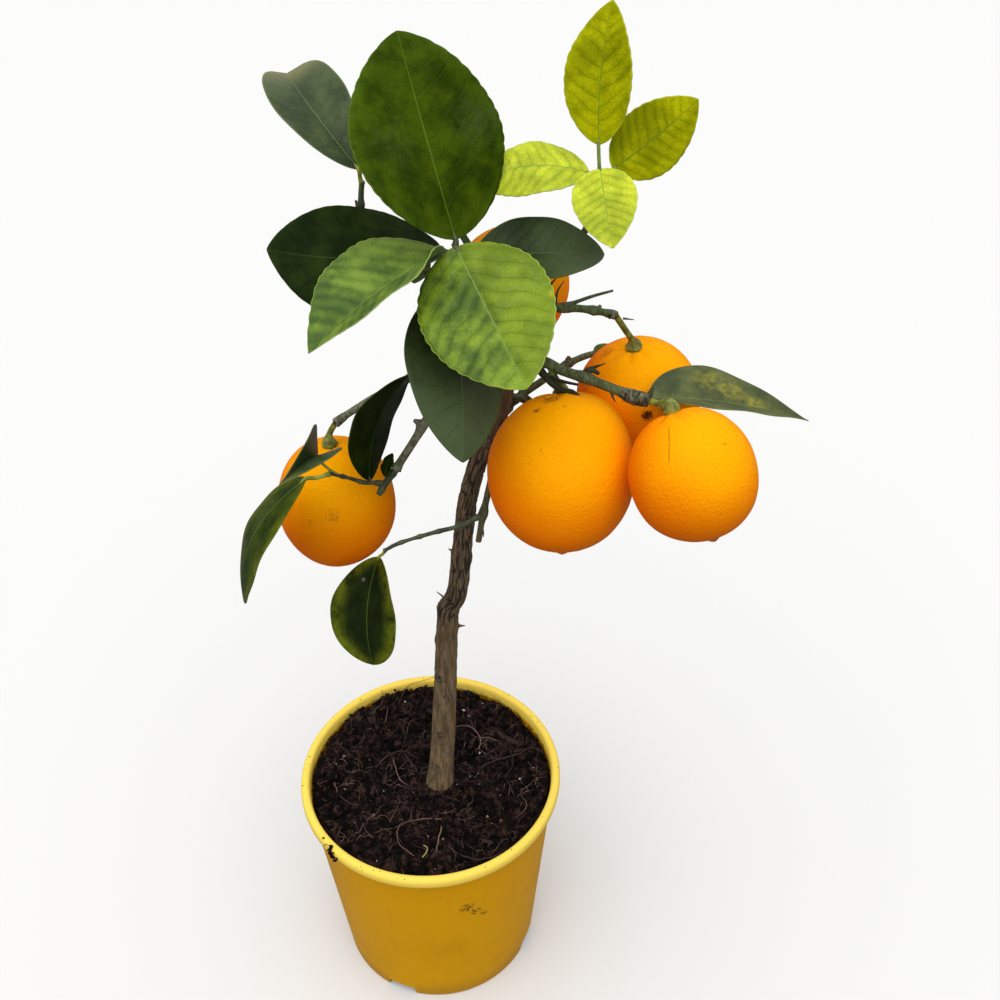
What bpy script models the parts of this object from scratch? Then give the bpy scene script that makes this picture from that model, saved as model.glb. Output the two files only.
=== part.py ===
"""A young Meyer lemon tree in a yellow plastic pot, in metres, +Z up.

The origin is the centre of the pot's flat underside. The front of the plant faces -Y.
Limbs, lemons and leaf sprays are separate closed solids that stand 0.3 mm clear of each other.
Places and lengths in the rows below are millimetres, and angles are degrees. An azimuth is
measured from +X towards +Y, and an elevation from the level.
"""
import math
import random

import bmesh
import bpy
from mathutils import Matrix, Vector, noise
from mathutils.bvhtree import BVHTree

MM = 0.001
GAP = 0.3

# Pot and compost
POT_HEIGHT = 171.0
RIM_RADIUS = 90.0
RIM_BAND = 8.5
RIM_LIP = 6.0
WALL_TOP_RADIUS = 85.5
WALL_FOOT_RADIUS = 71.0
WALL = 2.0
FOOT_CHAMFER = 1.5
POT_SEGMENTS = 48
NOTCH_COUNT = 4
NOTCH_WIDTH = 22.0
NOTCH_HEIGHT = 8.5
NOTCH_REACH = 6.0
NOTCH_AZIMUTH = 248.0
SOIL_LEVEL = 159.0
SOIL_LUMPS = 3.0
SOIL_FLAT_RADIUS = 15.0

# Wood: each limb runs through its places, with its width at the first and at the last
TRUNK_FOOT = (6.0, -3.0, SOIL_LEVEL + GAP)
TRUNK_FLARE_HEIGHT = 22.0
TRUNK_FLARE = 1.6
FORK = (58.0, -7.0, 505.0)
TRUNK_PLACES = [TRUNK_FOOT, (11, -3, 216), (17, -3, 308), (19.5, -3.5, 328), (25, -4, 345),
                (33, -5, 412), (43, -5.5, 449), (52, -6, 472), FORK]
TRUNK_WIDTHS = (17.0, 8.6)

# The other boughs: their places, first and last width, and the limbs that they are cut clear of
BOUGHS = {
    "leader": ([(57.5, -6.6, 502), (56, -11, 515), (48, -22, 544), (36.5, -35.5, 574)],
               (8.4, 3.6), ("trunk",)),
    "right_bough": ([(57, -7, 500), (73, -20, 510), (83, -26, 508.5), (98, -34, 507),
                     (116, -43, 504), (124, -47, 503.5)], (5.4, 4.8), ("trunk", "leader")),
    "upper_right_bough": ([(52.5, -16, 530), (68, -8, 533), (84, -3, 531), (99, 0, 528),
                           (112, 4, 522.5)], (4.6, 3.4), ("leader",)),
    "left_bough": ([(56, -11, 514), (44, -16, 514), (28, -21, 503), (13, -26, 478),
                    (-3, -32.5, 454)], (5.2, 4.2), ("trunk", "leader")),
    "left_fruit_bough": ([(56, -7, 493), (42, 0, 501), (24, 1, 502), (2, 0, 488),
                          (-21, 3, 472), (-38, 5, 459)], (5.4, 3.8), ("trunk",)),
    "rear_bough": ([(50.5, -6, 469), (60, 2, 473.5), (75, 12, 479), (89, 24, 482), (104, 40, 478.5),
                    (117, 50, 472.5), (126, 57, 466), (130, 60, 461)], (4.2, 3.4), ("trunk",)),
    "back_bough": ([(50, -20, 538), (60, 0, 548), (69, 18, 554), (75, 32, 557)],
                   (4.4, 3.4), ("leader",)),
    "young_bough": ([(46, -25, 550), (66, -19, 552), (84, -15, 564), (95, -12, 580)],
                    (4.0, 2.8), ("leader",)),
    "rear_top_bough": ([(44, -27, 556), (40, -17, 568), (32, -4, 577), (24, 10, 585)],
                       (4.0, 2.8), ("leader",)),
    "upper_left_bough": ([(42, -30, 561), (26, -24, 560), (8, -16, 562), (-8, -8, 572),
                          (-12.5, -5, 584)], (3.8, 3.4), ("leader",)),
    "low_shoot": ([(43, -5.5, 449), (49, -9, 443), (47, -13, 434), (42, -17, 413),
                   (38.5, -18, 392)], (4.2, 3.4), ("trunk",)),
}
THORNS = {
    "upper_right_bough": ([(82, -3.5, 530.5), (88, -1, 532), (99, 4, 533.5), (110, 8, 534.5)],
                          (2.4, 1.3)),
}

# Lemons: centre, width, length, top leaning to (azimuth) by (degrees), the stalk's places
LEMONS = {
    "lemon_centre": ((82.6, -46.6, 460.2), 76.5, 82.4, 90, 30, [(76.5, -22, 509.5), (79, -24.5, 505)],
                     ("right_bough",)),
    "lemon_right": ((143.0, -79.3, 482.1), 62.2, 65.6, 122, 36, [(123.5, -46.7, 503.4), (128.5, -52.5, 507)],
                    ("right_bough",)),
    "lemon_upper": ((127.2, 12, 467.7), 68.0, 66.6, 200, 8, [(111.5, 3.8, 522.8), (117, 7, 513)],
                    ("upper_right_bough",)),
    "lemon_back": ((58, 41, 520), 64.0, 68.0, 0, 25, [(74.7, 31.4, 556.9), (76, 38, 557)],
                   ("back_bough",)),
    "lemon_left": ((-42, 0, 408), 68.0, 78.0, 100, 4, [(-37.4, 5.0, 459.5), (-41.5, 4.5, 453)],
                   ("left_fruit_bough",)),
}
NIPPLE = 1.6
NIPPLE_REACH = 3.5
FRUIT_ROUNDNESS = 0.94
FRUIT_RINGS = 13
FRUIT_SEGMENTS = 20
STALK_WIDTH = 3.6
CALYX_WIDTH = 10.0
CALYX_SHARES = (0.6, 0.9, 1.0)

# Leaves: how fast the blade widens from its base, its thickness and its petiole's thickness,
# each no less than a least value, and the grid of faces along and across it
BLADE_RISE = 0.62
BLADE_LEAST_HALF = 0.7
BLADE_THICKNESS = (0.0115, 0.9)
PETIOLE_RADIUS = (0.012, 0.75)
PETIOLE_REACH = 0.22
FRONT_BLADE_GRID = (8, 4)
FAR_BLADE_GRID = (6, 2)


def leaf(at, base, azimuth, elevation, roll, length, width, arch=0.05, fold=8, widest=0.46,
         twist=0, sweep=0.0, twig=None, blunt=0.0):
    """One leaf: where its petiole leaves the stem, its blade's base, and how the blade lies."""
    return dict(at=at, base=base, azimuth=azimuth, elevation=elevation, roll=roll,
                length=length, width=width, arch=arch, fold=fold, widest=widest,
                twist=twist, sweep=sweep, twig=twig, blunt=blunt)


# Leaf sprays that face the front: the stem's places, its widths, the limbs that it is cut
# clear of, its side twigs and its leaves
SPRAYS = {
    "top_spray": ([(36.8, -35.1, 573.2), (33.5, -39, 579), (32.5, -40.5, 583)], (3.4, 2.4),
                  ("leader",), [], [
        leaf(1.0, (33, -40, 586), 120, 59, 8, 92, 80, 0.025, 4, 0.42, -34, 0.02, blunt=0.12),
        leaf(0.5, (26, -37, 580), 178, 0, -21, 80, 65, -0.025, 1, 0.44, -50, 0.046),
        leaf(0.8, (27, -41, 581), 218, -19, 6, 77, 58, 0.035, 22, 0.40, -6, -0.02),
        leaf(0.9, (33, -43, 584), 295, -26, 22, 79, 60, 0.0, 5, 0.45, 8, 0.0),
        leaf(0.1, (28, -37, 557), 276, -39, -29, 81, 52, 0.10, -11, 0.44, 8, -0.02),
        leaf(0.2, (41, -30, 573), 6, -3, 26, 61, 37, 0.04, 14, 0.48, -9, -0.01),
    ]),
    "upper_left_spray": ([(-12.4, -5, 583), (-12, -4, 592), (-11, -3.5, 599)], (3.4, 2.4),
                         ("upper_left_bough",), [], [
        leaf(0.9, (-12, -4, 605), 124, 21.7, -11, 72, 39.2, 0.115, 24, 0.595, 18, 0.058, blunt=0.36),
    ]),
    "young_spray": ([(94.6, -12.1, 578.8), (97.5, -11, 592), (99, -11, 604)], (2.4, 1.8),
                    ("young_bough",), [], [
        leaf(1.0, (98, -10, 617), 78, 59, -9, 63, 33, 0.05, 20, 0.43, -24, 0.02),
        leaf(0.95, (105, -11, 606), 34, 24, 56, 54, 32, -0.02, -4, 0.44, 0, -0.02),
        leaf(0.97, (94, -12, 605), 167, -8, -28, 51, 31, 0.12, -6, 0.52, -14, -0.015),
        leaf(1.0, (99, -13, 607), 276, -32, 10, 42, 30, 0.05, 13, 0.44, 4, -0.01),
    ]),
    "right_spray": ([(121, -44, 504), (122.4, -40.5, 501.8), (123.2, -38.2, 500.2)], (3.4, 2.4),
                    ("right_bough",), [], [
        leaf(1.0, (125.8, -34, 496.6), 1.8, -11.5, -4.4, 85, 49.5, 0.043, 18, 0.325, 7.6, 0.0),
    ]),
    "left_spray": ([(-2.2, -32.1, 455), (-9, -34, 446), (-13, -36, 440)], (4.2, 3.4),
                   ("left_bough",), [
        ([(-9, -34, 446.5), (-19, -40, 451), (-26, -44, 457), (-35, -48, 463)], (2.6, 1.8)),
    ], [
        leaf(0.6, (-17, -36, 449), 31, 64, -68, 62, 36, 0.10, 9, 0.49, 2, -0.04),
        leaf(0.3, (-9, -34, 450), 60, 50, -20, 13, 9),
        leaf(1.0, (-47, -52, 463), 201, -59, 8, 81, 45, 0.15, -5, 0.48, -12, 0.03, 0),
        leaf(0.85, (-40, -48, 471.5), 251.5, 17.5, -40, 43.6, 25, 0.17, 38, 0.35, -26, -0.043, 0),
    ]),
    "low_spray": ([(41, -17, 411), (30, -19.5, 405), (14, -22, 402), (-5, -27, 399),
                   (-14, -29, 395)], (2.8, 2.0), ("low_shoot", "trunk"), [], [
        leaf(0.97, (-17, -29, 391), 261, -58, 22, 62, 45, 0.08, 12, 0.51, -34, -0.04),
    ]),
}

# Leaf sprays on the far side, whose twigs and leaves follow a seeded rule: the stem's places,
# its widths, the limbs that it is cut clear of, the seed, the leaves wanted, the range of their
# elevations, and the lowest and highest corner of the space that the spray keeps to
GROWN_SPRAYS = {
    "rear_top_spray": ([(24.2, 9.4, 584.7), (21, 20, 591), (19, 28, 598)], (2.8, 2.0),
                       ("rear_top_bough",),
                       3, 3, (-20, 60), ((-15, 6, 540), (50, 84, 634))),
    "rear_left_spray": ([(-6, -9, 570), (-12, 4, 564), (-18, 15, 552)], (2.6, 1.8),
                        ("upper_left_bough",), 7, 2, (-62, -36), ((-66, -6, 470), (30, 74, 562))),
    "rear_middle_spray": ([(46, -6, 456), (44, 10, 459), (38, 26, 458)], (2.8, 2.0), ("trunk",),
                          8, 3, (-60, 20), ((17, 4, 392), (84, 84, 486))),
    "rear_right_spray": ([(129.6, 59.2, 462), (133, 66, 452), (134, 74, 442)], (2.8, 2.0),
                         ("rear_bough",),
                         4, 3, (-80, 10), ((96, 40, 366), (172, 122, 470))),
    "low_rear_spray": ([(54.5, -6, 481), (63, -4, 478), (69, -3, 471), (77, 2, 457), (84, 16, 440)],
                       (3.8, 1.8), ("trunk", "rear_bough"),
                       6, 3, (-80, 0), ((50, 2, 326), (134, 90, 458))),
}
TWIG_TRIES = 6
MOST_STEMS = 3
TWIG_STARTS = (0.3, 0.9)
TWIG_LENGTHS = (12, 20)
TWIG_BEND = 40
TWIG_WIDTHS = (2.0, 1.6)
LEAF_TRIES = 60
LEAF_STARTS = (0.5, 1.0)
LEAF_LENGTHS = (46, 66)
LEAF_ROLLS = (-25, 25)
LEAF_SLIMNESS = (0.54, 0.66)
LEAF_ARCHES = (0.03, 0.10)
LEAF_FOLDS = (4, 14)
PETIOLE_LENGTHS = (5, 9)
TURN = 137.5
TURN_SPREAD = 15
CLEARANCE = 1.2
WELD = 0.01 * MM


def remove_everything():
    for item in list(bpy.data.objects):
        bpy.data.objects.remove(item, do_unlink=True)


def material(name, colour, roughness, metallic=0.0):
    made = bpy.data.materials.new(name)
    made.use_nodes = True
    shader = made.node_tree.nodes["Principled BSDF"]
    shader.inputs["Base Color"].default_value = (*colour, 1.0)
    shader.inputs["Roughness"].default_value = roughness
    shader.inputs["Metallic"].default_value = metallic
    made.diffuse_color = (*colour, 1.0)
    return made


def metres(place):
    return Vector(place) * MM


def direction(azimuth, elevation):
    a, e = math.radians(azimuth), math.radians(elevation)
    return Vector((math.cos(e) * math.cos(a), math.cos(e) * math.sin(a), math.sin(e)))


def add_object(name, mesh, look):
    made = bpy.data.objects.new(name, mesh)
    bpy.context.scene.collection.objects.link(made)
    if look is not None:
        made.data.materials.clear()
        made.data.materials.append(look)
    return made


def evaluated_mesh(item):
    graph = bpy.context.evaluated_depsgraph_get()
    graph.update()
    return bpy.data.meshes.new_from_object(item.evaluated_get(graph))


def bake(item):
    """Put the evaluated mesh, with its modifiers applied, in place of the object's own."""
    mesh = evaluated_mesh(item)
    item.modifiers.clear()
    old = item.data
    item.data = mesh
    bpy.data.meshes.remove(old)


def remove_object(item):
    bpy.data.objects.remove(item, do_unlink=True)


def cut(item, cutters):
    """Cut the item by closed cutters, which are then removed."""
    for cutter in cutters:
        modifier = item.modifiers.new("cut", "BOOLEAN")
        modifier.operation = "DIFFERENCE"
        modifier.object = cutter
        bake(item)
        remove_object(cutter)
    keep_largest(item)


def fuse(item, pieces):
    """Join the pieces to the item in one union on a collection, which is then removed."""
    if pieces:
        group = bpy.data.collections.new("fused")
        for piece in pieces:
            group.objects.link(piece)
        modifier = item.modifiers.new("fuse", "BOOLEAN")
        modifier.operation = "UNION"
        modifier.operand_type = "COLLECTION"
        modifier.collection = group
        bake(item)
        for piece in pieces:
            remove_object(piece)
        bpy.data.collections.remove(group)
    keep_largest(item)


def keep_largest(item):
    """Drop loose scraps: only the largest group of faces that are joined by edges stays."""
    shape = bmesh.new()
    shape.from_mesh(item.data)
    bmesh.ops.remove_doubles(shape, verts=shape.verts, dist=WELD)
    bmesh.ops.dissolve_degenerate(shape, edges=shape.edges, dist=WELD)
    unseen = set(shape.faces)
    groups = []
    while unseen:
        reached = [unseen.pop()]
        for face in reached:
            for edge in face.edges:
                for other in edge.link_faces:
                    if other in unseen:
                        unseen.discard(other)
                        reached.append(other)
        groups.append(reached)
    groups.sort(key=len)
    for group in groups[:-1]:
        bmesh.ops.delete(shape, geom=group, context="FACES")
    shape.to_mesh(item.data)
    shape.free()


def smooth_path(places, steps):
    """Points on one smooth curve through the places, given in metres."""
    ends = [places[0] * 2 - places[1], *places, places[-1] * 2 - places[-2]]
    points = []
    for a, b, c, d in zip(ends, ends[1:], ends[2:], ends[3:]):
        for i in range(steps):
            t = i / steps
            points.append(0.5 * (2 * b + (c - a) * t + (2 * a - 5 * b + 4 * c - d) * t ** 2
                                 + (3 * b - a - 3 * c + d) * t ** 3))
    points.append(places[-1])
    return points


def point_at(path, share):
    """The point at a share of a path, which runs from 0 to 1."""
    spot = share * (len(path) - 1)
    low = min(int(spot), len(path) - 2)
    return path[low].lerp(path[low + 1], spot - low)


def tube(name, points, radii, resolution, look):
    """A capped tube through the points, with a radius at each, in metres."""
    curve = bpy.data.curves.new(name, "CURVE")
    curve.dimensions = "3D"
    curve.bevel_depth = 1.0
    curve.bevel_resolution = resolution
    curve.use_fill_caps = True
    spline = curve.splines.new("POLY")
    spline.points.add(len(points) - 1)
    for end, point, radius in zip(spline.points, points, radii):
        end.co = (*point, 1.0)
        end.radius = radius
    guide = bpy.data.objects.new(name, curve)
    bpy.context.scene.collection.objects.link(guide)
    mesh = evaluated_mesh(guide)
    remove_object(guide)
    bpy.data.curves.remove(curve)
    made = add_object(name, mesh, look)
    weld(made)
    return made


def weld(item):
    shape = bmesh.new()
    shape.from_mesh(item.data)
    bmesh.ops.remove_doubles(shape, verts=shape.verts, dist=WELD)
    bmesh.ops.recalc_face_normals(shape, faces=shape.faces)
    shape.to_mesh(item.data)
    shape.free()


def taper(count, widths):
    first, last = (width * MM / 2 for width in widths)
    return [first + (last - first) * i / (count - 1) for i in range(count)]


def limb(name, places, widths, look, steps=3, resolution=2, swell=0.0):
    """One tapering limb. Swell widens it on all sides, for a cutter that leaves a gap."""
    path = smooth_path([metres(place) for place in places], steps)
    radii = [radius + swell * MM for radius in taper(len(path), widths)]
    if name == "trunk":
        for i, point in enumerate(path):
            above = (point.z - path[0].z) / MM
            radii[i] += TRUNK_FLARE * MM * max(0.0, 1 - above / TRUNK_FLARE_HEIGHT) ** 2
    if swell:
        path[0] += (path[0] - path[1]).normalized() * swell * MM
        path[-1] += (path[-1] - path[-2]).normalized() * swell * MM
    made = tube(name, path, radii, resolution, look)
    return made


def level_foot(item, height):
    """Flatten the trunk's lowest ring, so that its cut lies level."""
    lowest = min(vert.co.z for vert in item.data.vertices)
    for vert in item.data.vertices:
        if vert.co.z < lowest + 3 * MM:
            vert.co.z = height * MM


def turned(name, profile, steps, look):
    """A solid of revolution: the profile's (radius, height) points run along its surface."""
    shape = bmesh.new()
    verts = [shape.verts.new((x * MM, 0.0, z * MM)) for x, z in profile]
    edges = [shape.edges.new(pair) for pair in zip(verts, verts[1:])]
    bmesh.ops.spin(shape, geom=verts + edges, cent=(0, 0, 0), axis=(0, 0, 1),
                   angle=2 * math.pi, steps=steps, use_merge=True)
    bmesh.ops.remove_doubles(shape, verts=shape.verts, dist=WELD)
    bmesh.ops.recalc_face_normals(shape, faces=shape.faces)
    mesh = bpy.data.meshes.new(name)
    shape.to_mesh(mesh)
    shape.free()
    mesh.shade_smooth()
    mesh.set_sharp_from_angle(angle=math.radians(35))
    return add_object(name, mesh, look)


def wall_radius(height):
    """Outer radius of the pot's wall at a height."""
    share = height / (POT_HEIGHT - RIM_BAND)
    return WALL_FOOT_RADIUS + (WALL_TOP_RADIUS - WALL_FOOT_RADIUS) * share


def make_pot(look):
    under_rim = POT_HEIGHT - RIM_BAND
    rim = RIM_RADIUS
    inner = rim - RIM_LIP
    profile = [(0, 0), (WALL_FOOT_RADIUS - FOOT_CHAMFER, 0),
               (wall_radius(FOOT_CHAMFER), FOOT_CHAMFER), (wall_radius(60), 60),
               (wall_radius(115), 115), (WALL_TOP_RADIUS, under_rim), (rim - 1.0, under_rim + 0.4),
               (rim - 0.2, under_rim + 2.0), (rim, POT_HEIGHT - 3.5), (rim - 0.8, POT_HEIGHT - 1.2),
               (rim - 2.6, POT_HEIGHT), (inner + 1.6, POT_HEIGHT), (inner, POT_HEIGHT - 1.4),
               (inner - 0.3, under_rim), (wall_radius(80) - WALL, 80),
               (wall_radius(WALL) - WALL, WALL), (0, WALL)]
    pot = turned("pot", profile, POT_SEGMENTS, look)
    cutters = []
    for i in range(NOTCH_COUNT):
        shape = bmesh.new()
        bmesh.ops.create_cube(shape, size=1.0)
        size = Vector((NOTCH_REACH * 2, NOTCH_WIDTH, NOTCH_HEIGHT * 2)) * MM
        bmesh.ops.scale(shape, vec=size, verts=shape.verts)
        bmesh.ops.translate(shape, vec=(WALL_FOOT_RADIUS * MM, 0, 0), verts=shape.verts)
        turn = Matrix.Rotation(math.radians(NOTCH_AZIMUTH + 360 / NOTCH_COUNT * i), 4, "Z")
        bmesh.ops.transform(shape, matrix=turn, verts=shape.verts)
        mesh = bpy.data.meshes.new("notch")
        shape.to_mesh(mesh)
        shape.free()
        cutters.append(add_object("notch", mesh, None))
    cut(pot, cutters)
    return pot


def make_compost(look):
    foot = WALL + GAP
    inner = [(wall_radius(height) - WALL - 2 * GAP) for height in (foot, 80.0, 140.0)]
    edge = inner[-1] + (wall_radius(SOIL_LEVEL) - wall_radius(140.0))
    profile = [(0, foot), (inner[0], foot), (inner[1], 80), (edge, SOIL_LEVEL - 1)]
    rings = 8
    profile += [(edge * (1 - i / rings), SOIL_LEVEL) for i in range(1, rings + 1)]
    compost = turned("compost", profile, POT_SEGMENTS * 2 // 3, look)
    centre = metres(TRUNK_FOOT)
    for vert in compost.data.vertices:
        if vert.co.z > (SOIL_LEVEL - 0.5) * MM:
            away = (vert.co - centre).xy.length / MM
            share = min(1.0, max(0.0, (away - SOIL_FLAT_RADIUS) / SOIL_FLAT_RADIUS))
            lump = noise.noise(vert.co / (14 * MM)) * SOIL_LUMPS
            vert.co.z = (SOIL_LEVEL + share * lump) * MM
    return compost


def lemon_profile(width, length):
    """The fruit's (radius, height) points from nipple to stalk end, with its centre at 0."""
    points = []
    for i in range(FRUIT_RINGS):
        angle = math.pi * i / (FRUIT_RINGS - 1)
        radius = width / 2 * math.sin(angle) ** FRUIT_ROUNDNESS
        height = -length / 2 * math.cos(angle)
        if height < 0:
            height -= NIPPLE * math.exp(-(radius / NIPPLE_REACH) ** 2)
        points.append((radius if 0 < i < FRUIT_RINGS - 1 else 0.0, height))
    return points


def make_lemon(name, rind, green, limbs):
    centre, width, length, azimuth, lean, stalk, clear_of = LEMONS[name]
    fruit = turned(name, lemon_profile(width, length), FRUIT_SEGMENTS, rind)
    up = direction(azimuth, 90 - lean)
    turn = Vector((0, 0, 1)).rotation_difference(up).to_matrix().to_4x4()
    fruit.data.transform(Matrix.Translation(metres(centre)) @ turn)
    top = metres(centre) + up * length / 2 * MM
    path = smooth_path([metres(stalk[0]), metres(stalk[1]), top + up * 2 * MM, top - up * 4 * MM], 3)
    radii = [STALK_WIDTH / 2 * MM] * len(path)
    radii[-len(CALYX_SHARES):] = [CALYX_WIDTH / 2 * MM * share for share in CALYX_SHARES]
    twig = tube("stalk", path, radii, 1, green)
    cut_clear(twig, clear_of, limbs)
    fuse(fruit, [twig])
    return fruit


def leaf_half_width(t, row):
    """Half the blade's width at t, from 0 at the base to 1 at the tip."""
    widest = row["widest"]
    fall = BLADE_RISE * (1 - widest) / widest
    peak = widest ** BLADE_RISE * (1 - widest) ** fall
    past = max(0.0, (t - widest) / (1 - widest))
    rounding = 1 - row["blunt"] * past * past * (3 - 2 * past)
    return row["width"] / 2 * (t ** BLADE_RISE * (1 - t) ** fall / peak) ** rounding


def blade_point(row, t, s):
    """A point of the blade, at t along it and s across it from -1 to 1, in metres."""
    forward = direction(row["azimuth"], row["elevation"])
    level = Vector((0, 0, 1)).cross(forward).normalized()
    middle = Matrix.Rotation(math.radians(row["roll"]), 3, forward) @ level
    turn = row["roll"] + row["twist"] * (t - 0.5)
    side = Matrix.Rotation(math.radians(turn), 3, forward) @ level
    half = max(leaf_half_width(t, row), BLADE_LEAST_HALF)
    bow = row["length"] * 4 * t * (1 - t)
    fold = math.radians(row["fold"])
    place = Vector(row["base"]) + forward * row["length"] * t
    place += forward.cross(middle) * bow * row["arch"] + middle * bow * row["sweep"]
    place += side * half * s * math.cos(fold) + forward.cross(side) * half * abs(s) * math.sin(fold)
    return place * MM


def at_least(share_and_least, length):
    share, least = share_and_least
    return max(least, length * share)


def make_leaf(row, stem, look, grid):
    """A leaf blade and its petiole, as two overlapping closed solids."""
    along, across = grid
    shape = bmesh.new()
    bmesh.ops.create_grid(shape, x_segments=along, y_segments=across, size=1.0)
    for vert in shape.verts:
        vert.co = blade_point(row, (vert.co.x + 1) / 2, vert.co.y)
    mesh = bpy.data.meshes.new("blade")
    bmesh.ops.recalc_face_normals(shape, faces=shape.faces)
    shape.to_mesh(mesh)
    shape.free()
    blade = add_object("blade", mesh, look)
    thickness = blade.modifiers.new("thickness", "SOLIDIFY")
    thickness.thickness = at_least(BLADE_THICKNESS, row["length"]) * MM
    thickness.offset = 0.0
    bake(blade)
    weld(blade)
    start = point_at(stem, row["at"])
    base = metres(row["base"])
    inside = blade_point(row, PETIOLE_REACH, 0)
    radius = at_least(PETIOLE_RADIUS, row["length"]) * MM
    path = smooth_path([start, base, inside], 2)
    petiole = tube("petiole", path, [radius] * (len(path) - 1) + [radius * 0.7], 0, look)
    return [blade, petiole]


def cut_clear(item, names, limbs):
    """Trim the item so that it stands clear of the limbs that it would run into."""
    cutters = []
    for name in names:
        places, widths, resolution = limbs[name]
        cutters.append(limb(name, places, widths, None, 3, resolution, GAP))
    if cutters:
        cut(item, cutters)


def make_spray(name, look, limbs):
    """A spray that faces the front, with its leaves as they are listed."""
    places, widths, clear_of, twigs, leaves = SPRAYS[name]
    path = smooth_path([metres(place) for place in places], 3)
    spray = tube(name, path, taper(len(path), widths), 1, look)
    pieces = []
    twig_paths = []
    for twig_places, twig_widths in twigs:
        twig_path = smooth_path([metres(place) for place in twig_places], 3)
        twig_paths.append(twig_path)
        pieces.append(tube("twig", twig_path, taper(len(twig_path), twig_widths), 1, look))
    for row in leaves:
        stem = path if row["twig"] is None else twig_paths[row["twig"]]
        pieces += make_leaf(row, stem, look, FRONT_BLADE_GRID)
    fuse(spray, pieces)
    cut_clear(spray, clear_of, limbs)
    return spray


def tree_of(item):
    shape = bmesh.new()
    shape.from_mesh(item.data)
    found = BVHTree.FromBMesh(shape)
    shape.free()
    return found


def stands_clear(item, neighbours):
    """Whether no point of the item comes closer to a neighbour than the clearance."""
    own = tree_of(item)
    for other in neighbours:
        if own.overlap(other):
            return False
        for vert in item.data.vertices:
            if other.find_nearest(vert.co, CLEARANCE * MM)[0] is not None:
                return False
    return True


def keeps_inside(item, space):
    low, high = (metres(corner) for corner in space)
    return all(low[i] <= vert.co[i] <= high[i] for vert in item.data.vertices for i in range(3))


def grow_spray(name, look, limbs):
    """A spray on the far side. A twig or leaf that would touch or leave its space is skipped."""
    places, widths, clear_of, seed, wanted, elevations, space = GROWN_SPRAYS[name]
    chance = random.Random(seed)
    neighbours = [tree_of(item) for item in bpy.data.objects]
    path = smooth_path([metres(place) for place in places], 3)
    spray = tube(name, path, taper(len(path), widths), 1, look)
    stems = [path]
    pieces = []
    azimuth = chance.uniform(0, 360)
    for i in range(TWIG_TRIES):
        azimuth += TURN
        first, last = TWIG_STARTS
        start = point_at(path, first + (last - first) * i / TWIG_TRIES)
        way = direction(azimuth, chance.uniform(*elevations))
        end = start + way * chance.uniform(*TWIG_LENGTHS) * MM
        bend = start.lerp(end, 0.5) + direction(azimuth + 90, TWIG_BEND) * MM
        twig_path = smooth_path([start, bend, end], 2)
        twig = tube("twig", twig_path, taper(len(twig_path), TWIG_WIDTHS), 0, look)
        if len(stems) < MOST_STEMS and keeps_inside(twig, space) and stands_clear(twig, neighbours):
            stems.append(twig_path)
            pieces.append(twig)
        else:
            remove_object(twig)
    grown = 0
    for i in range(LEAF_TRIES):
        azimuth += TURN + chance.uniform(-TURN_SPREAD, TURN_SPREAD)
        stem = stems[i % len(stems)]
        at = chance.uniform(*LEAF_STARTS)
        elevation = chance.uniform(*elevations)
        length = chance.uniform(*LEAF_LENGTHS)
        petiole = direction(azimuth, elevation) * chance.uniform(*PETIOLE_LENGTHS)
        row = leaf(at, tuple(point_at(stem, at) / MM + petiole), azimuth, elevation,
                   chance.uniform(*LEAF_ROLLS), length, length * chance.uniform(*LEAF_SLIMNESS),
                   chance.uniform(*LEAF_ARCHES), chance.uniform(*LEAF_FOLDS))
        blade, petiole = make_leaf(row, stem, look, FAR_BLADE_GRID)
        if grown < wanted and keeps_inside(blade, space) and stands_clear(blade, neighbours):
            neighbours.append(tree_of(blade))
            pieces += [blade, petiole]
            grown += 1
        else:
            remove_object(blade)
            remove_object(petiole)
    fuse(spray, pieces)
    cut_clear(spray, clear_of, limbs)
    return spray


def main():
    remove_everything()
    plastic = material("pot_plastic", (0.80, 0.48, 0.01), 0.35)
    compost = material("compost", (0.02, 0.012, 0.008), 0.95)
    bark = material("bark", (0.16, 0.13, 0.08), 0.85)
    green_wood = material("green_wood", (0.08, 0.12, 0.04), 0.6)
    leaf_green = material("leaf", (0.06, 0.14, 0.03), 0.4)
    young_leaf = material("young_leaf", (0.45, 0.55, 0.05), 0.45)
    rind = material("rind", (0.95, 0.42, 0.01), 0.4)

    make_pot(plastic)
    make_compost(compost)
    limbs = {"trunk": (TRUNK_PLACES, TRUNK_WIDTHS, 4)}
    trunk = limb("trunk", TRUNK_PLACES, TRUNK_WIDTHS, bark, 3, 4)
    level_foot(trunk, TRUNK_FOOT[2])
    for name, (places, widths, clear_of) in BOUGHS.items():
        bough = limb(name, places, widths, green_wood)
        cut_clear(bough, clear_of, limbs)
        if name in THORNS:
            fuse(bough, [limb("thorn", *THORNS[name], green_wood)])
        limbs[name] = (places, widths, 2)
    for name in LEMONS:
        make_lemon(name, rind, green_wood, limbs)
    for name in SPRAYS:
        make_spray(name, young_leaf if name == "young_spray" else leaf_green, limbs)
    for name in GROWN_SPRAYS:
        grow_spray(name, leaf_green, limbs)


main()
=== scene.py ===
import math
import random

import bmesh
import bpy
from mathutils import Matrix, Vector, noise
from mathutils.bvhtree import BVHTree


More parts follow.
